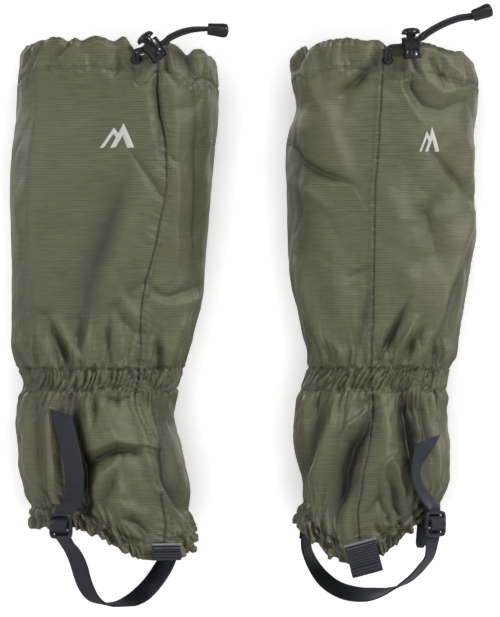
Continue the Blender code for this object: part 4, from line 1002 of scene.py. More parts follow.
def cloth_material(name, light, dark):
    """Ribbed nylon: cross ribs, slubby threads, soft sheen, shade painted into creases and a
    highlight painted onto ridges.
    """
    sh = Shader(name)
    uv = sh.add("UVMap", uv_map="UVMap").outputs[0]
    u, v, _ = sh.add("SeparateXYZ", vector=uv).outputs
    # slow drift that bends the ribs a little
    bend = sh.add("TexNoise", vector=uv, Scale=1.6, Detail=3.0)
    bent_v = sh.math("MULTIPLY_ADD", bend.outputs[0], 0.028, v)
    rib = sh.wave(bent_v, pitch=2.3)
    weft = sh.wave(v, pitch=0.63)
    warp = sh.wave(u, pitch=0.55)
    # slubs: noise drawn out along the weft
    drawn = sh.add("CombineXYZ")
    sh.feed(drawn.inputs[0], sh.math("MULTIPLY", u, 5.0))
    sh.feed(drawn.inputs[1], sh.math("MULTIPLY", bent_v, 52.0))
    slub = sh.add("TexNoise", vector=drawn.outputs[0], Scale=1.0, Detail=2.0, Roughness=0.6)
    patch = sh.add("TexNoise", vector=uv, Scale=3.2, Detail=2.0).outputs[0]
    rib_strength = sh.math("MULTIPLY_ADD", patch, 1.6, -0.35, clamp=True)
    weave = sh.math(
        "ADD", sh.math("MULTIPLY", sh.math("MULTIPLY", rib, rib_strength), 0.42),
        sh.math("MULTIPLY", sh.math("SUBTRACT", slub.outputs[0], 0.5), 1.6))
    tone = sh.math("MULTIPLY_ADD", weave, 0.95, 0.5)
    tone = sh.math("MULTIPLY_ADD", sh.math("SUBTRACT", patch, 0.5), 0.48, tone, clamp=True)
    base = sh.mix(tone, dark, light)
    # painted shade darkens the creases and a painted highlight lightens the ridges, both read
    # from the crease depth
    cavity = sh.add("Attribute", attribute_name="cavity").outputs["Fac"]
    low = sh.math("MULTIPLY", cavity, -0.12, clamp=True)
    base = sh.mix(low, base, (dark[0] * 0.22, dark[1] * 0.22, dark[2] * 0.26))
    high = sh.math("MULTIPLY", cavity, 0.05, clamp=True)
    base = sh.mix(high, base, (light[0] * 1.35, light[1] * 1.33, light[2] * 1.4))
    sh.set({
        "Base Color": base,
        "Roughness": sh.math("MULTIPLY_ADD", weave, 0.10, 0.42),
        "Specular IOR Level": 0.6,
        "Sheen Weight": 0.05,
        "Sheen Roughness": 0.45,
        "Sheen Tint": (0.75, 0.76, 0.66, 1.0),
        "Specular Tint": (0.96, 0.97, 0.84, 1.0)})
    height = sh.math("ADD", sh.math("MULTIPLY", weave, 0.75),
                     sh.math("MULTIPLY", sh.math("MULTIPLY", weft, warp), 0.22))
    sh.bump(height, strength=0.8, distance=0.00022)
    return sh.material


def webbing_material(name, colour, pitch=1.25, contrast=1.0, solid=False):
    """Woven webbing: zigzag cross picks, warp lines and fuzz. A solid one is
    laid out by the object's x and z instead of a UV map."""
    sh = Shader(name)
    if solid:
        place = sh.add("TexCoord").outputs["Object"]
        uv = sh.add("VectorMath", vector=place, operation="SCALE", Scale=10.0).outputs[0]
    else:
        uv = sh.add("UVMap", uv_map="UVMap").outputs[0]
    axes = sh.add("SeparateXYZ", vector=uv).outputs
    u, v = axes[0], axes[2 if solid else 1]
    zigzag = sh.math("ABSOLUTE", sh.math(
        "SUBTRACT", sh.math("FRACT", sh.math("MULTIPLY", u, 100 / 2.6)), 0.5))
    pick = sh.wave(sh.math("ADD", v, sh.math("MULTIPLY", zigzag, 0.013)), pitch)
    warp = sh.wave(u, pitch=0.75)
    fuzz = sh.add("TexNoise", vector=uv, Scale=46.0, Detail=4.0, Roughness=0.7)
    weave = sh.math("ADD", sh.math("MULTIPLY", pick, 0.34), sh.math("MULTIPLY", warp, 0.16))
    tone = sh.math("MULTIPLY_ADD", weave, 0.34 * contrast,
                   sh.math("MULTIPLY_ADD", fuzz.outputs[0], 0.7, 0.15), clamp=True)
    sh.set({
        "Base Color": sh.mix(tone, tuple(c * 0.62 / contrast for c in colour),
                             tuple(c * 1.42 * contrast ** 1.5 for c in colour)),
        "Specular IOR Level": 0.32,
        "Roughness": 0.62,
        "Sheen Weight": 0.06,
        "Sheen Tint": (0.6, 0.64, 0.75, 1.0)})
    sh.bump(weave, strength=0.8, distance=0.00016 * contrast)
    return sh.material


def plastic_material(name, colour, rough):
    """Moulded plastic: fine grain, smears and paler sharp edges."""
    sh = Shader(name)
    place = sh.add("TexCoord").outputs["Object"]
    grain = sh.add("TexNoise", vector=place, Scale=2600.0, Detail=3.0).outputs[0]
    smear = sh.add("TexNoise", vector=place, Scale=240.0, Detail=3.0).outputs[0]
    # sharp edges are mixed paler
    pointiness = sh.add("NewGeometry").outputs["Pointiness"]
    edge = sh.math("MULTIPLY", sh.math("SUBTRACT", pointiness, 0.52), 5.0, clamp=True)
    paler_edges = sh.mix(edge, colour, scaled(colour, 2.6, lift=0.02))
    sh.set({
        "Base Color": sh.mix(sh.math("MULTIPLY", smear, 0.35), paler_edges,
                             scaled(colour, 1.5, lift=0.004)),
        "Roughness": sh.math("MULTIPLY_ADD", smear, 0.22, rough - 0.11),
        "Specular IOR Level": 0.34})
    sh.bump(grain, strength=0.25, distance=0.00004)
    return sh.material


def metal_material(name, colour, rough=0.32):
    """Metal brushed in fine level lines."""
    sh = Shader(name)
    place = sh.add("TexCoord").outputs["Object"]
    stretched = sh.add("Mapping", vector=place, Scale=(300, 300, 2600)).outputs[0]
    lines = sh.add("TexNoise", vector=stretched, Scale=1.0, Detail=3.0).outputs[0]
    sh.set({
        "Base Color": sh.mix(lines, scaled(colour, 0.7), capped(colour, 1.25)),
        "Roughness": sh.math("MULTIPLY_ADD", lines, 0.25, rough - 0.12),
        "Metallic": 1.0})
    sh.bump(lines, strength=0.2, distance=0.00003)
    return sh.material


def thread_material(name, colour, sheen):
    sh = Shader(name)
    place = sh.add("TexCoord").outputs["Object"]
    twist = sh.add("TexNoise", vector=place, Scale=1900.0, Detail=2.0).outputs[0]
    sh.set({
        "Base Color": sh.mix(twist, scaled(colour, 0.6), capped(colour, 1.3)),
        "Roughness": 0.5,
        "Sheen Weight": sheen})
    sh.bump(twist, strength=0.6, distance=0.0001)
    return sh.material


CLOTH = cloth_material("olive_ribbed_nylon", light=(0.1035, 0.0975, 0.0525),
                       dark=(0.047, 0.0452, 0.0265))
STRAP = webbing_material("navy_black_webbing", (0.0115, 0.0135, 0.0215))
TAB = webbing_material("ribbed_black_webbing", (0.0036, 0.0038, 0.0061), pitch=2.3,
                       contrast=3.6)
CORD = webbing_material("black_shock_cord", (0.011, 0.012, 0.015), pitch=1.6)
PLASTIC = plastic_material("black_acetal", (0.004, 0.0042, 0.006), rough=0.24)
BUCKLE = plastic_material("grey_black_acetal", (0.010, 0.011, 0.016), rough=0.28)
METAL = metal_material("brushed_steel_hook", (0.40, 0.40, 0.42))
STITCH = thread_material("dark_olive_thread", (0.026, 0.026, 0.018), sheen=0.4)
MARK = thread_material("pale_embroidery_thread", (0.50, 0.49, 0.46), sheen=0.3)
GREY = thread_material("grey_thread", (0.16, 0.17, 0.20), sheen=0.2)
ELASTIC = webbing_material("black_elastic", (0.03, 0.03, 0.032), pitch=1.9)
ZIP_TAPE = webbing_material("olive_black_zip_tape", (0.030, 0.031, 0.024), pitch=0.9,
                            solid=True)


# -------------------------------------------------------------------- cloth
def row_fractions():
    """Rows from hem to rim, closer where the cloth is gathered."""
    even = np.linspace(0, 1, 2001)
    height = even * 440
    weight = 1.0 + 1.2 * bell(height - 152, 22) + 0.9 * bell(height, 20) \
        + 0.5 * bell((1 - even) * 440, 25)
    total = np.concatenate([[0], np.cumsum((weight[1:] + weight[:-1]) / 2)])
    return np.interp(np.linspace(0, 1, ROWS), total / total[-1], even)


def column_fractions():
    """Columns from front seam to rear seam, closer beside the front seam."""
    near = 14
    return np.concatenate([np.linspace(0, 0.075, near, endpoint=False),
                           np.linspace(0.075, 1, COLS - near)])


def half_turn(points, normals, radius, rise):
    """Four rows folding an edge inwards; rise is +1 over, -1 under."""
    rows = []
    for k in range(1, 5):
        a = math.pi * k / 5
        rows.append(points - normals * radius * (1 - math.cos(a))
                    + UP * rise * radius * math.sin(a))
    return rows


def cloth_half(leg, turn, label):
    """Cloth from front seam to rear seam on the side of turn, hem to rim."""
    across, up = np.meshgrid(column_fractions(), row_fractions())
    z = 60 + (470 - 60) * up
    for _ in range(5):      # heights and angles settle against each other
        seam = gather(angle_of_x(leg, z, leg.seam_x(z)))
        # a gap for the zip above the ankle
        rear = turn * (math.pi - np.where(z > 211, 0.055, 0.0) * smooth(207, 214, z))
        end = gather(rear)
        end = np.where(np.abs(end) < 0.1, rear, end)
        angle = spread(seam + (end - seam) * across)
        rim_z, hem_z = rim_height(leg, angle), hem_height(leg, angle)
        z = hem_z + (rim_z - hem_z) * up
    points, normals, cavity = surface(leg, z, angle)
    s = girth(angle)
    z = z + edge_lift(leg, s, angle, z - hem_z, rim_z - z)
    points[..., 2] = z
    uv = np.stack([s * UV_PER_MM, z * UV_PER_MM + 0.002 * noise(s / 12, z / 12, 5)], axis=-1)
    # the top edge turns over and down inside, as the drawcord tunnel
    upper = half_turn(points[-1], normals[-1], radius=1.9, rise=1)
    for k in range(13):
        down = 0.4 + k * 2.0
        back = 5.2 * smooth(0, 5, down) + 3.8 * (1 - smooth(0, 5, down)) \
            + max(0, k - 10) * -1.6
        upper.append(surface(leg, z[-1] - down, angle[-1], -back)[0])
    # the bottom edge turns under and up, as the elastic's casing
    lower = half_turn(points[0], normals[0], radius=1.5, rise=-1)
    for k in range(9):
        rise = 0.4 + k * 1.7
        back = 3.0 + 1.6 * smooth(0, 4, rise) - max(0, k - 6) * 1.4
        lower.append(surface(leg, z[0] + rise, angle[0], -back)[0])
    points = fitted(leg, np.concatenate([np.array(lower[::-1]), points, np.array(upper)]))

    def uv_run(edge, start, end, rows):
        return edge + np.array([0, 1]) * np.linspace(start, end, rows)[:, None, None]
    uv = np.concatenate([uv_run(uv[:1], -0.15, -0.005, len(lower)), uv,
                         uv_run(uv[-1:], 0.005, 0.28, len(upper))])
    # painted shade on the turned-in tunnel and on the hem casing
    cavity = np.pad(cavity, ((len(lower), len(upper)), (0, 0)),
                    constant_values=((-2.0, -1.5), (0, 0)))
    obj = grid_object(leg.prefix + label + "_cloth", points, uv, CLOTH, flip=turn < 0)
    attribute = obj.data.attributes.new("cavity", "FLOAT", "POINT")
    attribute.data.foreach_set("value", cavity.astype(np.float32).ravel())
    return obj


def stitch_row(points, normals, length, gap, radius):
    """Separate stitches laid along a line of points, as tubes."""
    sides, rings = 6, 5
    angle = 2 * math.pi * np.arange(sides) / sides
    arch = np.sin(np.linspace(0, np.pi, rings))
    r = (radius * (0.45 + 0.55 * arch))[:, None, None]
    distance = run_length(points)
    parts = []
    start = gap
    while start + length < distance[-1]:
        places = start + np.linspace(0, length, rings)
        line = np.stack([np.interp(places, distance, c) for c in points.T], axis=1)
        out = np.stack([np.interp(places, distance, c) for c in normals.T], axis=1)
        out /= np.linalg.norm(out, axis=1)[:, None]
        side = np.cross(tangents(line), out)
        centre = line + out * (arch * radius * 0.9 - radius * 0.35)[:, None]
        parts.append(tube(centre[:, None] + out[:, None] * r * np.cos(angle)[:, None]
                          + side[:, None] * r * np.sin(angle)[:, None]))
        start += length + gap
    return parts


def sewing(leg):
    """Stitches of both hems, the ankle and the front seam."""
    angle = spread(np.linspace(-math.pi + 0.1, math.pi - 0.1, 420))
    parts = []
    row_low, row_top = ANKLE_ROWS
    for z in (rim_height(leg, angle) - RIM_STITCH, np.full_like(angle, row_top),
              np.full_like(angle, row_low), hem_height(leg, angle) + HEM_STITCH):
        parts += stitch_row(*skin(leg, z, angle, 0.05), length=2.3, gap=1.3, radius=0.26)
    z = np.linspace(58, 452, 400)
    for inward, radius in ((1.1, 0.3), (4.0, 0.25)):
        angle = angle_of_x(leg, z, leg.seam_x(z) - leg.outward * inward)
        points, normals = skin(leg, z, angle, 0.05)
        keep = z < rim_height(leg, angle) - 6
        parts += stitch_row(points[keep], normals[keep], length=2.5, gap=1.5, radius=radius)
    return merged(leg.prefix + "stitching", parts, STITCH)


def elastic(leg, label, bottom, top, offset, rib):
    """Ribbed elastic ring; heights are functions of the angle."""
    angle = spread(np.linspace(-math.pi, math.pi, 321))[:-1]
    rows = []
    for k in range(15):
        f = k / 14.0
        depth = offset + rib * math.cos(math.pi * 9 * f) + 0.12 * np.sin(gather(angle) * 140)
        if k in (0, 14):
            depth = depth - 0.5
        z = bottom(angle) + (top - 0.0) * f
        rows.append(fitted(leg, off_tube(leg, z, angle, depth)[0]))
    inner = [fitted(leg, off_tube(leg, rows[k][:, 2], angle, offset - 1.5)[0])
             for k in (14, 7, 0)]
    points = np.array(rows + inner + [rows[0]])
    points = np.concatenate([points, points[:, :1]], axis=1)
    u = girth(np.append(angle, math.pi)) * UV_PER_MM
    v = np.linspace(0, 0.2, len(points))
    uv = np.stack(np.broadcast_arrays(u[None], v[:, None]), axis=-1)
    return grid_object(leg.prefix + label, points, uv, ELASTIC)


def peak_mark(leg):
    """Two plain mountain peaks in satin stitch."""
    # corners as fractions of the mark's width and height
    peaks = [
        [(-0.50, -0.50), (-0.12, 0.32), (0.06, -0.02), (-0.02, -0.12), (-0.12, 0.05),
         (-0.38, -0.50)],
        [(-0.20, -0.50), (0.16, 0.50), (0.50, -0.50), (0.30, -0.50), (0.15, -0.02),
         (-0.04, -0.50)]]
    centre_x, centre_z = leg.mark_centre
    rings = 6
    angle = 2 * math.pi * np.arange(6) / 6
    arch = np.sin(np.linspace(0, np.pi, rings))
    parts = []
    for peak in peaks:
        corners = np.array(peak) * np.array(leg.mark_size)
        for row in np.arange(corners[:, 1].min() + 0.15, corners[:, 1].max(), 0.42):
            crossings = sorted(
                x0 + (x1 - x0) * (row - z0) / (z1 - z0)
                for (x0, z0), (x1, z1) in zip(corners, np.roll(corners, -1, axis=0))
                if (z0 - row) * (z1 - row) < 0)
            for start, end in zip(crossings[::2], crossings[1::2]):
                if end - start <= 0.4:
                    continue
                x = centre_x + np.linspace(start, end, rings)
                # satin stitch runs a little uphill
                z = centre_z + row + np.linspace(-0.3, 0.3, rings)
                line, out = skin(leg, z, angle_of_x(leg, z, x), 0.1)
                lift = 0.28 * arch[:, None] + 0.26 * np.cos(angle)
                parts.append(tube(line[:, None] + out[:, None] * lift[..., None]
                                  + UP * (0.30 * np.sin(angle))[:, None]))
    return merged(leg.prefix + "peak_mark", parts, MARK)


# ---------------------------------------------------------- strap and buckle
def ladder_buckle(leg):
    """Ladder-lock frame: rounded square ring with a round middle bar."""
    middle = 9.8            # ring centre line from the buckle's centre

    def superellipse(angle, power):
        c, s = np.cos(angle), np.sin(angle)
        r = (np.abs(c) ** power + np.abs(s) ** power) ** (-1 / power)
        return r * c, r * s
    x, y = superellipse(2 * np.pi * np.arange(96) / 96, 7.0)
    outline = np.stack([1.03 * middle * x, 0.97 * middle * y], axis=1)
    along = np.roll(outline, -1, axis=0) - np.roll(outline, 1, axis=0)
    along /= np.linalg.norm(along, axis=1)[:, None]
    outward = np.stack([along[:, 1], -along[:, 0]], axis=1)
    on_side = np.abs(outline[:, :1]) > np.abs(outline[:, 1:])
    wide, high = superellipse(2 * np.pi * np.arange(20) / 20, 2.8)
    wide = np.where(on_side, 1.74, 1.62) * wide
    high = np.where(on_side, 1.9, 1.7) * high
    flat = outline[:, None] + outward[:, None] * wide[..., None]
    points = leg.buckle_at + leg.buckle_across * flat[..., :1] + UP * flat[..., 1:] \
        + leg.buckle_out * high[..., None]
    index = np.arange(96 * 20).reshape(96, 20)
    index = np.vstack([index, index[:1]])
    quads = cell_corners(index, np.roll(index, -1, axis=1)).reshape(-1, 4)
    obj = mesh_object(leg.prefix + "ladder_lock", points.reshape(-1, 3), quads.tolist())
    fix_normals(obj)
    bar = turned(leg.prefix + "bar", [(0, 9.9), (1.5, 9.9), (1.5, -9.9), (0, -9.9)],
                 leg.buckle_at, leg.buckle_across, UP, 24)
    carve(obj, [bar], "UNION")
    return dress(obj, BUCKLE)


def in_buckle(leg, rise, out):
    return leg.buckle_at + UP * rise + leg.buckle_out * out


def strap_end(leg):
    """Free end: over the middle bar and up the boot cover, cut on the slant."""
    # rise, distance out from the buckle's middle
    weave = [(-10.9, -2.8), (-8.2, -2.8), (-6.6, -2.2), (-4.4, 1.2), (-2.4, 3.9), (0.0, 4.5),
             (2.4, 3.9), (4.4, 1.2), (6.6, -2.2), (8.4, -2.8), (11.8, -2.7)]
    step = 0.9
    stations = [np.append(in_buckle(leg, *place), leg.buckle_across) for place in weave]
    for x, z, offset, tilt in leg.tail:
        point, out = off_tube(leg, z, angle_of_x(leg, z, x), offset)
        stations.append(np.append(point, unit(np.cross(UP, out) + out * tilt)))
    stations = resample(stations, step)
    path, across = stations[:, :3], stations[:, 3:]
    along = tangents(path)
    across = square_up(across, along)
    normals = np.cross(across, along)
    obj = sweep(leg.prefix + "strap_end", path, across * STRAP_HALF, STRAP_THICK, normals,
                STRAP)
    # pull one edge back over the last stretch
    rings = band_rings(path, across * STRAP_HALF, STRAP_THICK, normals)
    first = len(path) - int((leg.tail_slant + 3.0) / step)
    f = np.clip((np.arange(len(path)) - first) / (len(path) - 1 - first), 0, None)
    side = np.sum((rings - path[:, None]) * across[:, None], axis=2) / STRAP_HALF
    pull = np.maximum(0.0, (side * leg.tail_cut + 1.0) / 2.0) * leg.tail_slant * f[:, None]
    move_points(obj, (rings - along[:, None] * pull[..., None]).reshape(-1, 3))
    return obj


def buckle_holder(leg):
    """Webbing that wraps the middle bar and runs up inside the hem."""
    # rise, distance out from the buckle's middle
    web = [(24.0, -23.6), (12.0, -23.4), (5.5, -22.9), (2.0, -20.9), (0.75, -17.0),
           (0.75, -9.0), (0.8, -3.2)]
    for k in range(13):
        a = math.radians(150.0 - 300.0 * k / 12)
        web.append((2.45 * math.sin(a), 2.45 * math.cos(a)))
    web += [(-0.8, -3.2), (-0.75, -9.0), (-0.75, -18.0), (0.6, -22.4), (4.5, -24.9),
            (12.0, -25.3), (24.0, -25.4)]
    path = resample([in_buckle(leg, *place) for place in web], 0.7)
    across = np.repeat(leg.buckle_across[None], len(path), axis=0)
    return sweep(leg.prefix + "buckle_holder", path, across * HOLDER_HALF, HOLDER_THICK,
                 np.cross(across, tangents(path)), STRAP)


def boot_loop(leg):
    """Strap under the boot and the anchor it runs into inside the hem."""
    start, end = leg.loop_start, leg.loop_end
    heading = unit(end - start)
    reach = np.linalg.norm(end - start)
    wide = np.cross(UP, -heading)
    total = leg.loop[-1][0]
    stations = [np.append(in_buckle(leg, -9.5, -BEHIND_BUCKLE), leg.buckle_across)]
    for distance, z in leg.loop[1:]:
        point = start + heading * (distance / total * reach)
        point[2] = z
        stations.append(np.append(point, wide))
    for z in (66.0, 78.0, 90.0, 100.0):
        point, _ = off_tube(leg, z, leg.anchor_angle, -9.4)
        stations.append(np.append(point, wide))
    stations = resample(stations, 1.0)
    path, across = stations[:, :3], stations[:, 3:]
    along = tangents(path)
    across = square_up(across, along)
    normals = np.cross(across, along)
    # the band rolls over a little on its way round
    level = np.hypot(path[:, 0] - start[0], path[:, 1] - start[1]) * total / reach
    roll = np.radians(np.interp(level, *np.transpose(leg.twist)))
    order = np.arange(len(path))
    roll = np.where((order > len(path) * 0.5) & (path[:, 2] > 50), 0.0, roll)
    roll = np.convolve(np.pad(roll, 4, mode="edge"), np.ones(9) / 9, "valid")
    c, s = np.cos(roll)[:, None], np.sin(roll)[:, None]
    middle = len(path) // 2
    sense = np.sign(normals[middle][2]) * (-1.0 if across[middle][1] < 0 else 1.0)
    across, normals = across * c + normals * s * sense, normals * c - across * s * sense
    # split where the loop meets the inner anchor, with an overlap
    low = np.where((path[:, 2] > end[2] + 1.0) & (order > middle))[0][0]
    loop, anchor = slice(None, low + 9), slice(low + 4, None)
    return (
        sweep(leg.prefix + "boot_loop", path[loop], across[loop] * STRAP_HALF, STRAP_THICK,
              normals[loop], STRAP),
        sweep(leg.prefix + "loop_anchor", path[anchor] + heading * 1.9,
              across[anchor] * HOLDER_HALF, 1.2, normals[anchor], STRAP))


def holder_fold(leg):
    """Narrow folded strip of webbing beside the buckle."""
    x, y, top, bottom, half = leg.holder_fold
    path = resample([
        (x + 1.2, y + 1.6, top), (x + 0.4, y + 1.2, top - 6.0),
        (x - 0.6, y + 0.5, bottom + 6.0), (x - 1.2, y - 0.4, bottom + 1.2),
        (x - 1.3, y - 1.6, bottom), (x - 1.2, y - 2.8, bottom + 1.2),
        (x - 0.6, y - 2.6, bottom + 6.0), (x + 0.3, y - 1.8, top - 7.0)], 0.5)
    across = unit((0.83, -0.55, 0.0))
    turn = np.clip((bottom + 5.0 - path[:, 2]) / 5.0, 0, 1)
    width = half * (1.0 - 0.42 * turn ** 2)
    return sweep(leg.prefix + "holder_fold", path, across * width[:, None], HOLDER_THICK,
                 np.cross(across[None], tangents(path)), STRAP)


# ------------------------------------------------------------------ toe tab
def toe_tab(leg):
    """Folded webbing tab, its grey thread and the steel lace hook behind it."""
    across, rise, out = leg.tab_across, leg.tab_rise, leg.tab_out
    origin = leg.tab_at + across * leg.tab_slide
    top, length = leg.tab_top, leg.tab_length

    def at(up, forward):
        return origin + rise * up + out * forward
    path = [at(top, 0.0), at(top * 0.6 - length * 0.4, 0.15),
            at(top * 0.3 - length * 0.7, 0.1), at(-length + 2.0, 0.0)]
    for k in range(1, 8):
        a = math.pi * k / 8
        path.append(at(-length + 1.4 - 1.25 * math.sin(a), 1.25 * (1 - math.cos(a))))
    path += [at(-length + 2.0, 2.5), at(-length + 6.0, 2.35)]
    path = resample(path, 0.6)
    widths = np.repeat(across[None], len(path), axis=0) * TAB_HALF
    normals = np.cross(across[None], tangents(path))
    tab = sweep(leg.prefix + "toe_tab", path, widths, 1.7, normals, TAB)
    # heavy zigzag cross ribs
    rings = band_rings(path, widths, 1.7, normals)
    offset = rings - path[:, None]
    side = np.sign(np.sum(offset * normals[:, None], axis=2))
    sideways = offset @ across
    zigzag = 0.5 * np.abs((sideways / 3.2) % 1 - 0.5) * 2
    rib = 0.34 * np.sin(2 * math.pi * (run_length(path)[:, None] + zigzag) / 2.3)
    rib = np.where(np.abs(sideways) < 12.8, side * rib, 0.0)
    move_points(tab, (rings + normals[:, None] * rib[..., None]).reshape(-1, 3))

    edge = [at(top + 0.5, 0.7) + across * q for q in np.linspace(-13.4, 14.4, 30)]
    parts = [cord(edge, 1.05, sides=10, braid=0.12)[:2]]
    for height in (top - 2.6, -length + 3.2):
        line = np.array([at(height, 1.25) + across * q for q in np.linspace(-12.6, 12.6, 60)])
        parts += stitch_row(line, np.repeat(out[None], 60, axis=0), length=2.1, gap=0.7,
                            radius=0.36)
    thread = merged(leg.prefix + "tab_thread", parts, GREY)

    length -= 2.2           # the hook ends short of the tab
    path = [at(top - 1.0, -1.7), at(top * 0.5 - length * 0.5, -1.7), at(-length + 0.5, -1.7)]
    for k in range(1, 10):
        a = math.pi * k / 10
        path.append(at(-length + 0.5 - 2.0 * math.sin(a), -1.7 - 2.0 * (1 - math.cos(a))))
    path += [at(-length + 0.5, -5.7), at(-length + 3.6, -5.95)]
    path = resample(path, 0.6)
    width = np.full(len(path), 6.0)
    width[:6] = np.linspace(4.6, 6.0, 6)
    width[-8:] = np.linspace(6.0, 3.6, 8)
    hook = sweep(leg.prefix + "lace_hook_steel", path, across * width[:, None], 0.9,
                 np.cross(across[None], tangents(path)), METAL)
    return tab, thread, hook


# ---------------------------------------------------------- drawcord and lock
def tilted(angle):
    """Directions along and square to a tilt in the XZ plane."""
    return (np.array([math.cos(angle), 0, math.sin(angle)]),
            np.array([-math.sin(angle), 0, math.cos(angle)]))


def cord_lock(leg):
    """Waisted barrel and its mushroom plunger, both cut through for the cord."""
    run, up = tilted(math.radians(leg.cord_tilt) + math.radians(leg.lock_lean))
    base = leg.lock_at - up * 13.1
    slot_axes = (run, unit(np.cross(up, run)), up)
    profile = [(0, 2.6), (4.6, 2.6), (4.6, 18.1)] + fillet(5.0, 18.1, 0.4, 180, 90, 3) \
        + fillet(6.6, 17.5, 1.0, 90, 0, 5) \
        + [(7.6, 16.0), (7.5, 13.2), (7.0, 10.4), (6.55, 8.2), (6.6, 6.4), (7.0, 4.6)] \
        + fillet(6.6, 2.6, 0.75, 30, -40, 5) + [(6.9, 1.3)] \
        + fillet(5.9, 0.9, 0.9, 0, -90, 5) + [(0, 0.0)]
    barrel = turned(leg.prefix + "lock_barrel", [(r * 1.13, h) for r, h in profile],
                    base, up, run, 72)
    fix_normals(barrel)
    cutters = [box_cutter(leg.prefix + "c1", leg.lock_at, slot_axes, (26, 4.4, 9.0))]
    for k, side in enumerate((1, -1)):      # grooves front and back
        cutters.append(box_cutter(leg.prefix + "g%d" % k, base + up * 11.8 + FRONT * 8.4 * side,
                                  (run, FRONT, up), (6.0, 1.4, 9.0)))
    carve(barrel, cutters)
    dress(barrel, PLASTIC)

    profile = [(0, 7.9), (3.9, 7.9), (4.2, 8.2), (4.2, 21.4), (5.0, 21.4), (5.4, 21.0),
               (6.5, 21.0)] \
        + fillet(6.6, 21.7, 0.7, -90, 10, 5) \
        + [(7.25, 22.7), (6.9, 24.0), (6.0, 25.1), (4.5, 25.95), (2.4, 26.4), (0, 26.5)]
    profile = [(r * 1.1 if h > 20.5 else r, h) for r, h in profile]
    button = turned(leg.prefix + "lock_button", profile[::-1], base, up, run, 64)
    fix_normals(button)
    carve(button, [box_cutter(leg.prefix + "c2", base + up * 14.8, slot_axes,
                              (24, 4.5, 11.4))])
    return barrel, dress(button, PLASTIC)


def cord_end_frame(leg):
    """Bell end's place, direction and the direction square above it."""
    heading = unit(leg.cord_end_dir)
    return np.array(leg.cord_end), heading, np.array([-heading[2], 0, heading[0]])


def shock_cord(leg):
    """Two strands: tunnel, eyelet, lock, and a bend inside the bell end."""
    run, up = tilted(math.radians(leg.cord_tilt))
    end, end_dir, end_up = cord_end_frame(leg)
    exit_x, exit_z = leg.cord_exit
    exit_angle = angle_of_x(leg, exit_z, exit_x)
    reach, climb = leg.lock_exit

    def rolled(f, above):
        """Strand direction as the pair rolls one strand behind the other."""
        roll = leg.cord_roll * f
        return above * math.cos(roll) + FRONT * math.sin(roll)
    last = rolled(1.0, end_up)
    strands = []
    for side in (-1.0, 1.0):
        shift = side * CORD_SPACING
        f = np.arange(40) / 40.0        # hidden stretch in the tunnel
        start = gather(side * math.radians(160))
        angle = spread(start + (gather(exit_angle + side * 0.08) - start) * f)
        z = rim_height(leg, angle) - 8.0
        z = z + (exit_z - z) * smooth(0.75, 1.0, f)
        points = list(skin(leg, z, angle, -4.6)[0])
        points.append(skin(leg, exit_z, exit_angle, -1.4)[0][0] + RIGHTWARD * shift)
        points.append(skin(leg, exit_z + 1.0, exit_angle, 2.4)[0][0]
                      + RIGHTWARD * shift * 0.95)
        # the pair turns upright before the lock and crosses inside it
        points.append(leg.cord_mid + (RIGHTWARD - up) * shift * math.sqrt(0.5))
        points.append(leg.lock_at - run * 9.0 - up * shift)
        points.append(leg.lock_at - up * shift)
        points.append(leg.lock_at + run * reach + up * (climb + shift))
        for k, place in enumerate(leg.cord_run):
            points.append(place + rolled(k / len(leg.cord_run), unit(up + end_up)) * shift)
        points.append(end + last * shift)
        points.append(end + end_dir * 7.0 + last * shift)
        strands.append(points)
    bend = [end + end_dir * (7.0 + CORD_SPACING * math.cos(a)) - last * CORD_SPACING * math.sin(a)
            for a in np.linspace(math.pi / 2 - 0.5, -math.pi / 2 + 0.5, 5)]
    path = resample(strands[0] + bend + strands[1][::-1], 0.55)
    return mesh_object(leg.prefix + "shock_cord", *cord(path, CORD_RADIUS), CORD)


def bell_end(leg):
    """Ribbed bell with an open mouth."""
    end, end_dir, end_up = cord_end_frame(leg)
    profile = [(0, 11.6), (3.9, 11.6), (3.9, 0.5)] + fillet(4.4, 0.5, 0.5, 180, 360, 5) \
        + [(5.0, 2.0), (5.15, 5.0), (5.5, 9.0), (5.9, 12.4)] \
        + fillet(3.3, 14.6, 2.7, 0, 62, 6) + [(3.4, 17.5), (1.8, 17.95), (0, 18.1)]

    def ribbed(angle, r, h):
        if 1.0 < h < 14.0 and r > 4.5:
            return r + 0.16 * math.cos(angle * 12)
        return r
    obj = turned(leg.prefix + "bell_end", profile, end + end_dir * 0.6, end_dir, end_up, 96,
                 ribbed)
    fix_normals(obj)
    return dress(obj, PLASTIC)


def cord_eyelet(leg):
    """Oval ring round the cord's exit from the tunnel."""
    exit_x, exit_z = leg.cord_exit
    points, normals = skin(leg, exit_z, angle_of_x(leg, exit_z, exit_x), 0.35)
    sideways = np.cross(UP, normals[0])
    ring = [points[0] + sideways * 4.3 * math.cos(a) + UP * 3.4 * math.sin(a)
            for a in 2 * math.pi * np.arange(48) / 48]
    ring.append(ring[0])
    return mesh_object(leg.prefix + "cord_eyelet", *cord(ring, 0.7, sides=12, braid=0.0),
                       PLASTIC)


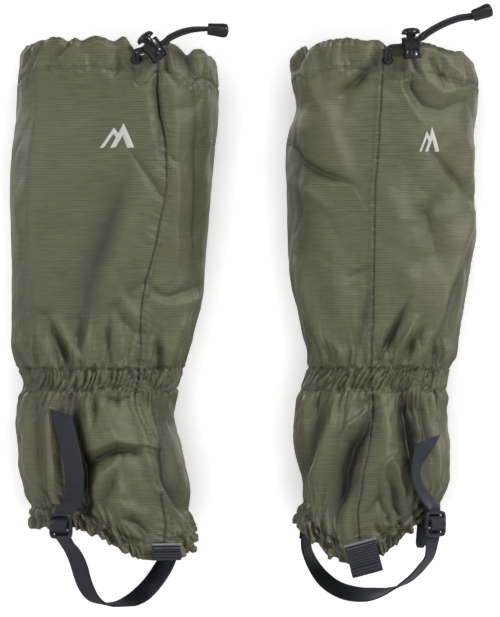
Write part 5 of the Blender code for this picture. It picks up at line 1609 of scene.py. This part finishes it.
def zip_coils(leg):
    """Coil teeth of the rear zip, outer side then inner side."""
    low, high = (np.array([np.interp(z, [207, 481], leg.rear_x),
                           42 + 15 * (z - 207) / 274, z]) for z in (216.0, 468.0))
    along = unit(high - low)
    across = unit(RIGHTWARD - along * along[0])
    back = np.cross(along, across)
    teeth = int(np.linalg.norm(high - low) / TOOTH_PITCH)
    f = np.linspace(0, 1, teeth * 10)
    coils = []
    for label, side, shift in (("outer", leg.outward, 0.0), ("inner", -leg.outward, 0.5)):
        turn = 2 * np.pi * (np.linspace(0, teeth, teeth * 10) + shift)
        path = low + (high - low) * f[:, None] \
            + across * (side * (1.45 + 1.15 * np.cos(turn)))[:, None] \
            + back * (-1.9 + 0.75 * np.sin(turn))[:, None]
        coils.append(mesh_object(leg.prefix + label + "_zip_coil",
                                 *cord(path, 0.36, sides=6, braid=0.0), PLASTIC))
    return coils


# --------------------------------------------------------- build both gaiters
def prepare(leg):
    """Work out the curves and the places shared with the CAD."""
    leg.centre_x, leg.half_width = curve(leg.section, 1), curve(leg.section, 2)
    leg.seam_x, leg.rim_z = curve(leg.seam), curve(leg.rim)
    measure_outline(leg)
    leg.lock_at = np.array(leg.lock) + np.array(leg.lock_shift)
    # the buckle's frame
    turn = math.radians(leg.buckle_turn)
    leg.buckle_at = np.array(leg.buckle)
    leg.buckle_out = np.array([-math.sin(turn), -math.cos(turn), 0.0])
    leg.buckle_across = np.cross(UP, leg.buckle_out)
    # the sole strap's two ends
    low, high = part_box(leg.prefix + "sole_strap")
    swing = np.array(JOINTS[leg.prefix + "sole_strap_swing"]["axis"], float)
    leg.loop_start = leg.buckle_at - leg.buckle_out * BEHIND_BUCKLE
    leg.loop_start[2] = leg.loop[0][1]
    reach = ((high.x - low.x) / MM - 2 * STRAP_HALF * abs(swing[1])) / abs(swing[0])
    leg.loop_end = leg.loop_start + swing * reach
    leg.anchor_angle = math.atan2(leg.loop_end[0] - leg.centre_x(58.0), -leg.loop_end[1])
    # the toe tab's frame, on its hinge
    hinge = JOINTS[leg.prefix + "tab_flip"]
    turn = math.radians(leg.tab_turn)
    leg.tab_out = np.array([math.sin(turn), -math.cos(turn), 0.0])
    leg.tab_across = -np.array(hinge["axis"], float)
    leg.tab_rise = np.cross(leg.tab_out, leg.tab_across)
    leg.tab_at = np.array(hinge["pos_m"], float) / MM - PAIR_ORIGIN


def build(leg):
    """Make one gaiter's pieces, hide the CAD pieces they replace and hang each riding piece on
    its body.
    """
    prefix = leg.prefix
    boot, calf = "boot", "calf"

    def fit(obj, ride=None, replaces=()):
        """Hide the CAD pieces a piece replaces, then hang it on its ride's body, or bake its
        place into its mesh when it has no ride.
        """
        if replaces:
            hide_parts(*(prefix + name for name in replaces))
        if ride:
            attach(obj, prefix + ride)
        else:
            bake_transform(obj)

    outer = cloth_half(leg, leg.outward, "outer")
    inner = cloth_half(leg, -leg.outward, "inner")
    fit(outer, replaces=("calf_outer_panel", "boot_outer_panel", "top_hem_facing",
                                  "bottom_hem_facing"))
    fit(inner, replaces=("calf_inner_panel", "boot_inner_panel", "ankle_band"))
    fit(sewing(leg), replaces=("calf_front_seam", "boot_front_seam"))
    fit(peak_mark(leg), calf)
    ankle = elastic(leg, "ankle_rubber", lambda angle: 188.5 + 0 * angle, 13.0,
                    offset=-2.7, rib=0.22)
    hem = elastic(leg, "hem_rubber", lambda angle: 6.0 + hem_height(leg, angle), 5.0,
                  offset=-2.6, rib=0.1)
    fit(ankle, replaces=("ankle_elastic",))
    fit(hem, boot, ("hem_elastic",))

    fit(strap_end(leg), "buckle", ("strap_tail",))
    fit(buckle_holder(leg), boot, ("buckle_webbing",))
    loop, anchor = boot_loop(leg)
    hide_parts(prefix + "sole_strap")
    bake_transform(loop)
    fit(anchor, boot, ("strap_anchor",))
    if leg.holder_fold:
        fit(holder_fold(leg), boot)
    fit(ladder_buckle(leg), "buckle", ("ladder_buckle",))

    tab, thread, hook = toe_tab(leg)
    fit(tab, "hook_tab", ("front_tab",))
    fit(thread, "hook_tab")
    fit(hook, "hook_tab", ("lace_hook",))

    barrel, button = cord_lock(leg)
    fit(barrel, "cord_lock", ("cord_lock_body",))
    fit(button, "plunger", ("cord_lock_plunger",))
    fit(shock_cord(leg), calf, ("drawcord",))
    fit(bell_end(leg), calf, ("cord_end",))
    fit(cord_eyelet(leg), calf, ("cord_exit_grommet",))
    for coil in zip_coils(leg):
        fit(coil, calf)

    # CAD pieces that stay and only get a material
    for name, material in (("cord_lock_spring", METAL), ("outer_zip_tape", ZIP_TAPE),
                           ("inner_zip_tape", ZIP_TAPE), ("zip_slider", METAL),
                           ("zip_pull", METAL)):
        piece = frame["nodes"][prefix + name]
        if piece.material_slots:
            for slot in piece.material_slots:
                slot.material = material
        else:
            piece.data.materials.append(material)


for leg in (LEFT, RIGHT):
    prepare(leg)
    build(leg)


# --------------------------------------------------------- stage, light, view
def contact_shade(sh, geometry, distance):
    """Soft shade near the parts, with the floor's own share taken out."""
    near = sh.add("AmbientOcclusion", samples=16, Distance=distance)
    where = sh.add("SeparateXYZ", vector=geometry.outputs["Position"])
    height = sh.math("MULTIPLY", where.outputs[2], 1.0 / distance, clamp=True)
    chord = sh.math("SQRT", sh.math("SUBTRACT", 1.0, sh.math("MULTIPLY", height, height)))
    segment = sh.math("SUBTRACT", sh.math("ARCCOSINE", height),
                      sh.math("MULTIPLY", height, chord))
    free = sh.math("SUBTRACT", 1.0, sh.math("MULTIPLY", segment, 1.0 / math.pi))
    return sh.math("MINIMUM", sh.math("DIVIDE", near.outputs["AO"], free), 1.0)


def paper_material(name, glow, shade_distance=None):
    """Pale paper that glows to the camera and is clear from behind."""
    sh = Shader(name)
    sh.set({"Base Color": (0.82, 0.82, 0.82, 1.0), "Roughness": 0.9,
            "Specular IOR Level": 0.1})
    geometry = sh.add("NewGeometry")
    clear = sh.add("BsdfTransparent")
    mixer = sh.add("MixShader")
    sh.feed(mixer.inputs[0], geometry.outputs["Backfacing"])
    emission = sh.add("Emission", Color=(1, 1, 1, 1))
    strength = sh.math("MULTIPLY", sh.add("LightPath").outputs["Is Camera Ray"], glow)
    if shade_distance:
        strength = sh.math("MULTIPLY", strength,
                           contact_shade(sh, geometry, shade_distance))
    sh.feed(emission.inputs["Strength"], strength)
    both = sh.add("AddShader")
    sh.feed(both.inputs[0], sh.surface.outputs[0])
    sh.feed(both.inputs[1], emission.outputs[0])
    sh.feed(mixer.inputs[1], both.outputs[0])
    sh.feed(mixer.inputs[2], clear.outputs[0])
    sh.feed(sh.tree.nodes["Material Output"].inputs[0], mixer.outputs[0])
    return sh.material


def sheet(name, corners, material):
    """Flat stage sheet, corners in metres."""
    mesh = bpy.data.meshes.new(name)
    mesh.from_pydata(corners, [], [(0, 1, 2, 3)])
    obj = link(name, mesh)
    mesh.materials.append(material)
    return obj


def area_light(name, place, target, size, power):
    """Round lamp aimed at target; places and size in metres, power in watts."""
    lamp = bpy.data.lights.new(name, "AREA")
    lamp.shape = "DISK"
    lamp.size = size
    lamp.energy = power
    obj = link(name, lamp)
    obj.location = place
    aim = Vector(target) - Vector(place)
    obj.rotation_euler = aim.to_track_quat("-Z", "Y").to_euler()
    return obj


SHEET = 4           # reach of the floor and wall, metres
WALL_Y = 0.0706     # metres
sheet("floor", [(-SHEET, -SHEET, 0), (SHEET, -SHEET, 0), (SHEET, SHEET, 0), (-SHEET, SHEET, 0)],
      paper_material("pale_floor", glow=0.75))
wall = sheet("backdrop", [(-SHEET, WALL_Y, 0), (SHEET, WALL_Y, 0), (SHEET, WALL_Y, SHEET),
                          (-SHEET, WALL_Y, SHEET)],
             paper_material("pale_wall", glow=0.82, shade_distance=0.05))
wall.visible_shadow = False

# white world: bright to the camera, soft on the parts
AMBIENT, CAMERA_EXTRA = 0.38, 0.67
world = bpy.data.worlds.new("studio")
bpy.context.scene.world = world
world.use_nodes = True
nodes, links = world.node_tree.nodes, world.node_tree.links
background = nodes["Background"]
background.inputs[0].default_value = (1.0, 1.0, 1.0, 1.0)
light_path = nodes.new("ShaderNodeLightPath")
strength = nodes.new("ShaderNodeMath")
strength.operation = "MULTIPLY_ADD"
strength.inputs[1].default_value = CAMERA_EXTRA
strength.inputs[2].default_value = AMBIENT
links.new(light_path.outputs["Is Camera Ray"], strength.inputs[0])
links.new(strength.outputs[0], background.inputs[1])

lamps = [
    area_light("key", place=(1.45, -1.15, 1.7), target=(0.03, 0, 0.24), size=0.5, power=44.0),
    area_light("left_side", place=(-1.8, -0.95, 0.9), target=(-0.1, 0, 0.24), size=0.5,
               power=11.0),
    area_light("top_front", place=(-0.2, -2.2, 1.5), target=(0, 0, 0.26), size=0.9, power=7.0),
    area_light("back_left", place=(-1.5, 1.9, 1.3), target=(0, 0, 0.24), size=0.8, power=30.0),
    area_light("back_right", place=(1.4, 2.1, 0.8), target=(0, 0, 0.24), size=0.8, power=18.0)]
# the lamps leave the wall unlit
paper = bpy.data.collections.new("paper")
paper.objects.link(wall)
for lamp in lamps:
    lamp.light_linking.receiver_collection = paper
paper.collection_objects[0].light_linking.link_state = "EXCLUDE"

camera = bpy.data.cameras.new("camera")
camera.lens = 474.9
camera.sensor_width = 36.0
camera.clip_start, camera.clip_end = 0.1, 60
camera_object = link("camera", camera)
camera_object.location = (0.0017, -7.0 + PAIR_ORIGIN[1] * MM, 0.2559)
camera_object.rotation_euler = (math.radians(90), 0, 0)
scene = bpy.context.scene
scene.camera = camera_object
scene.view_settings.view_transform = "Standard"
scene.view_settings.look = "None"
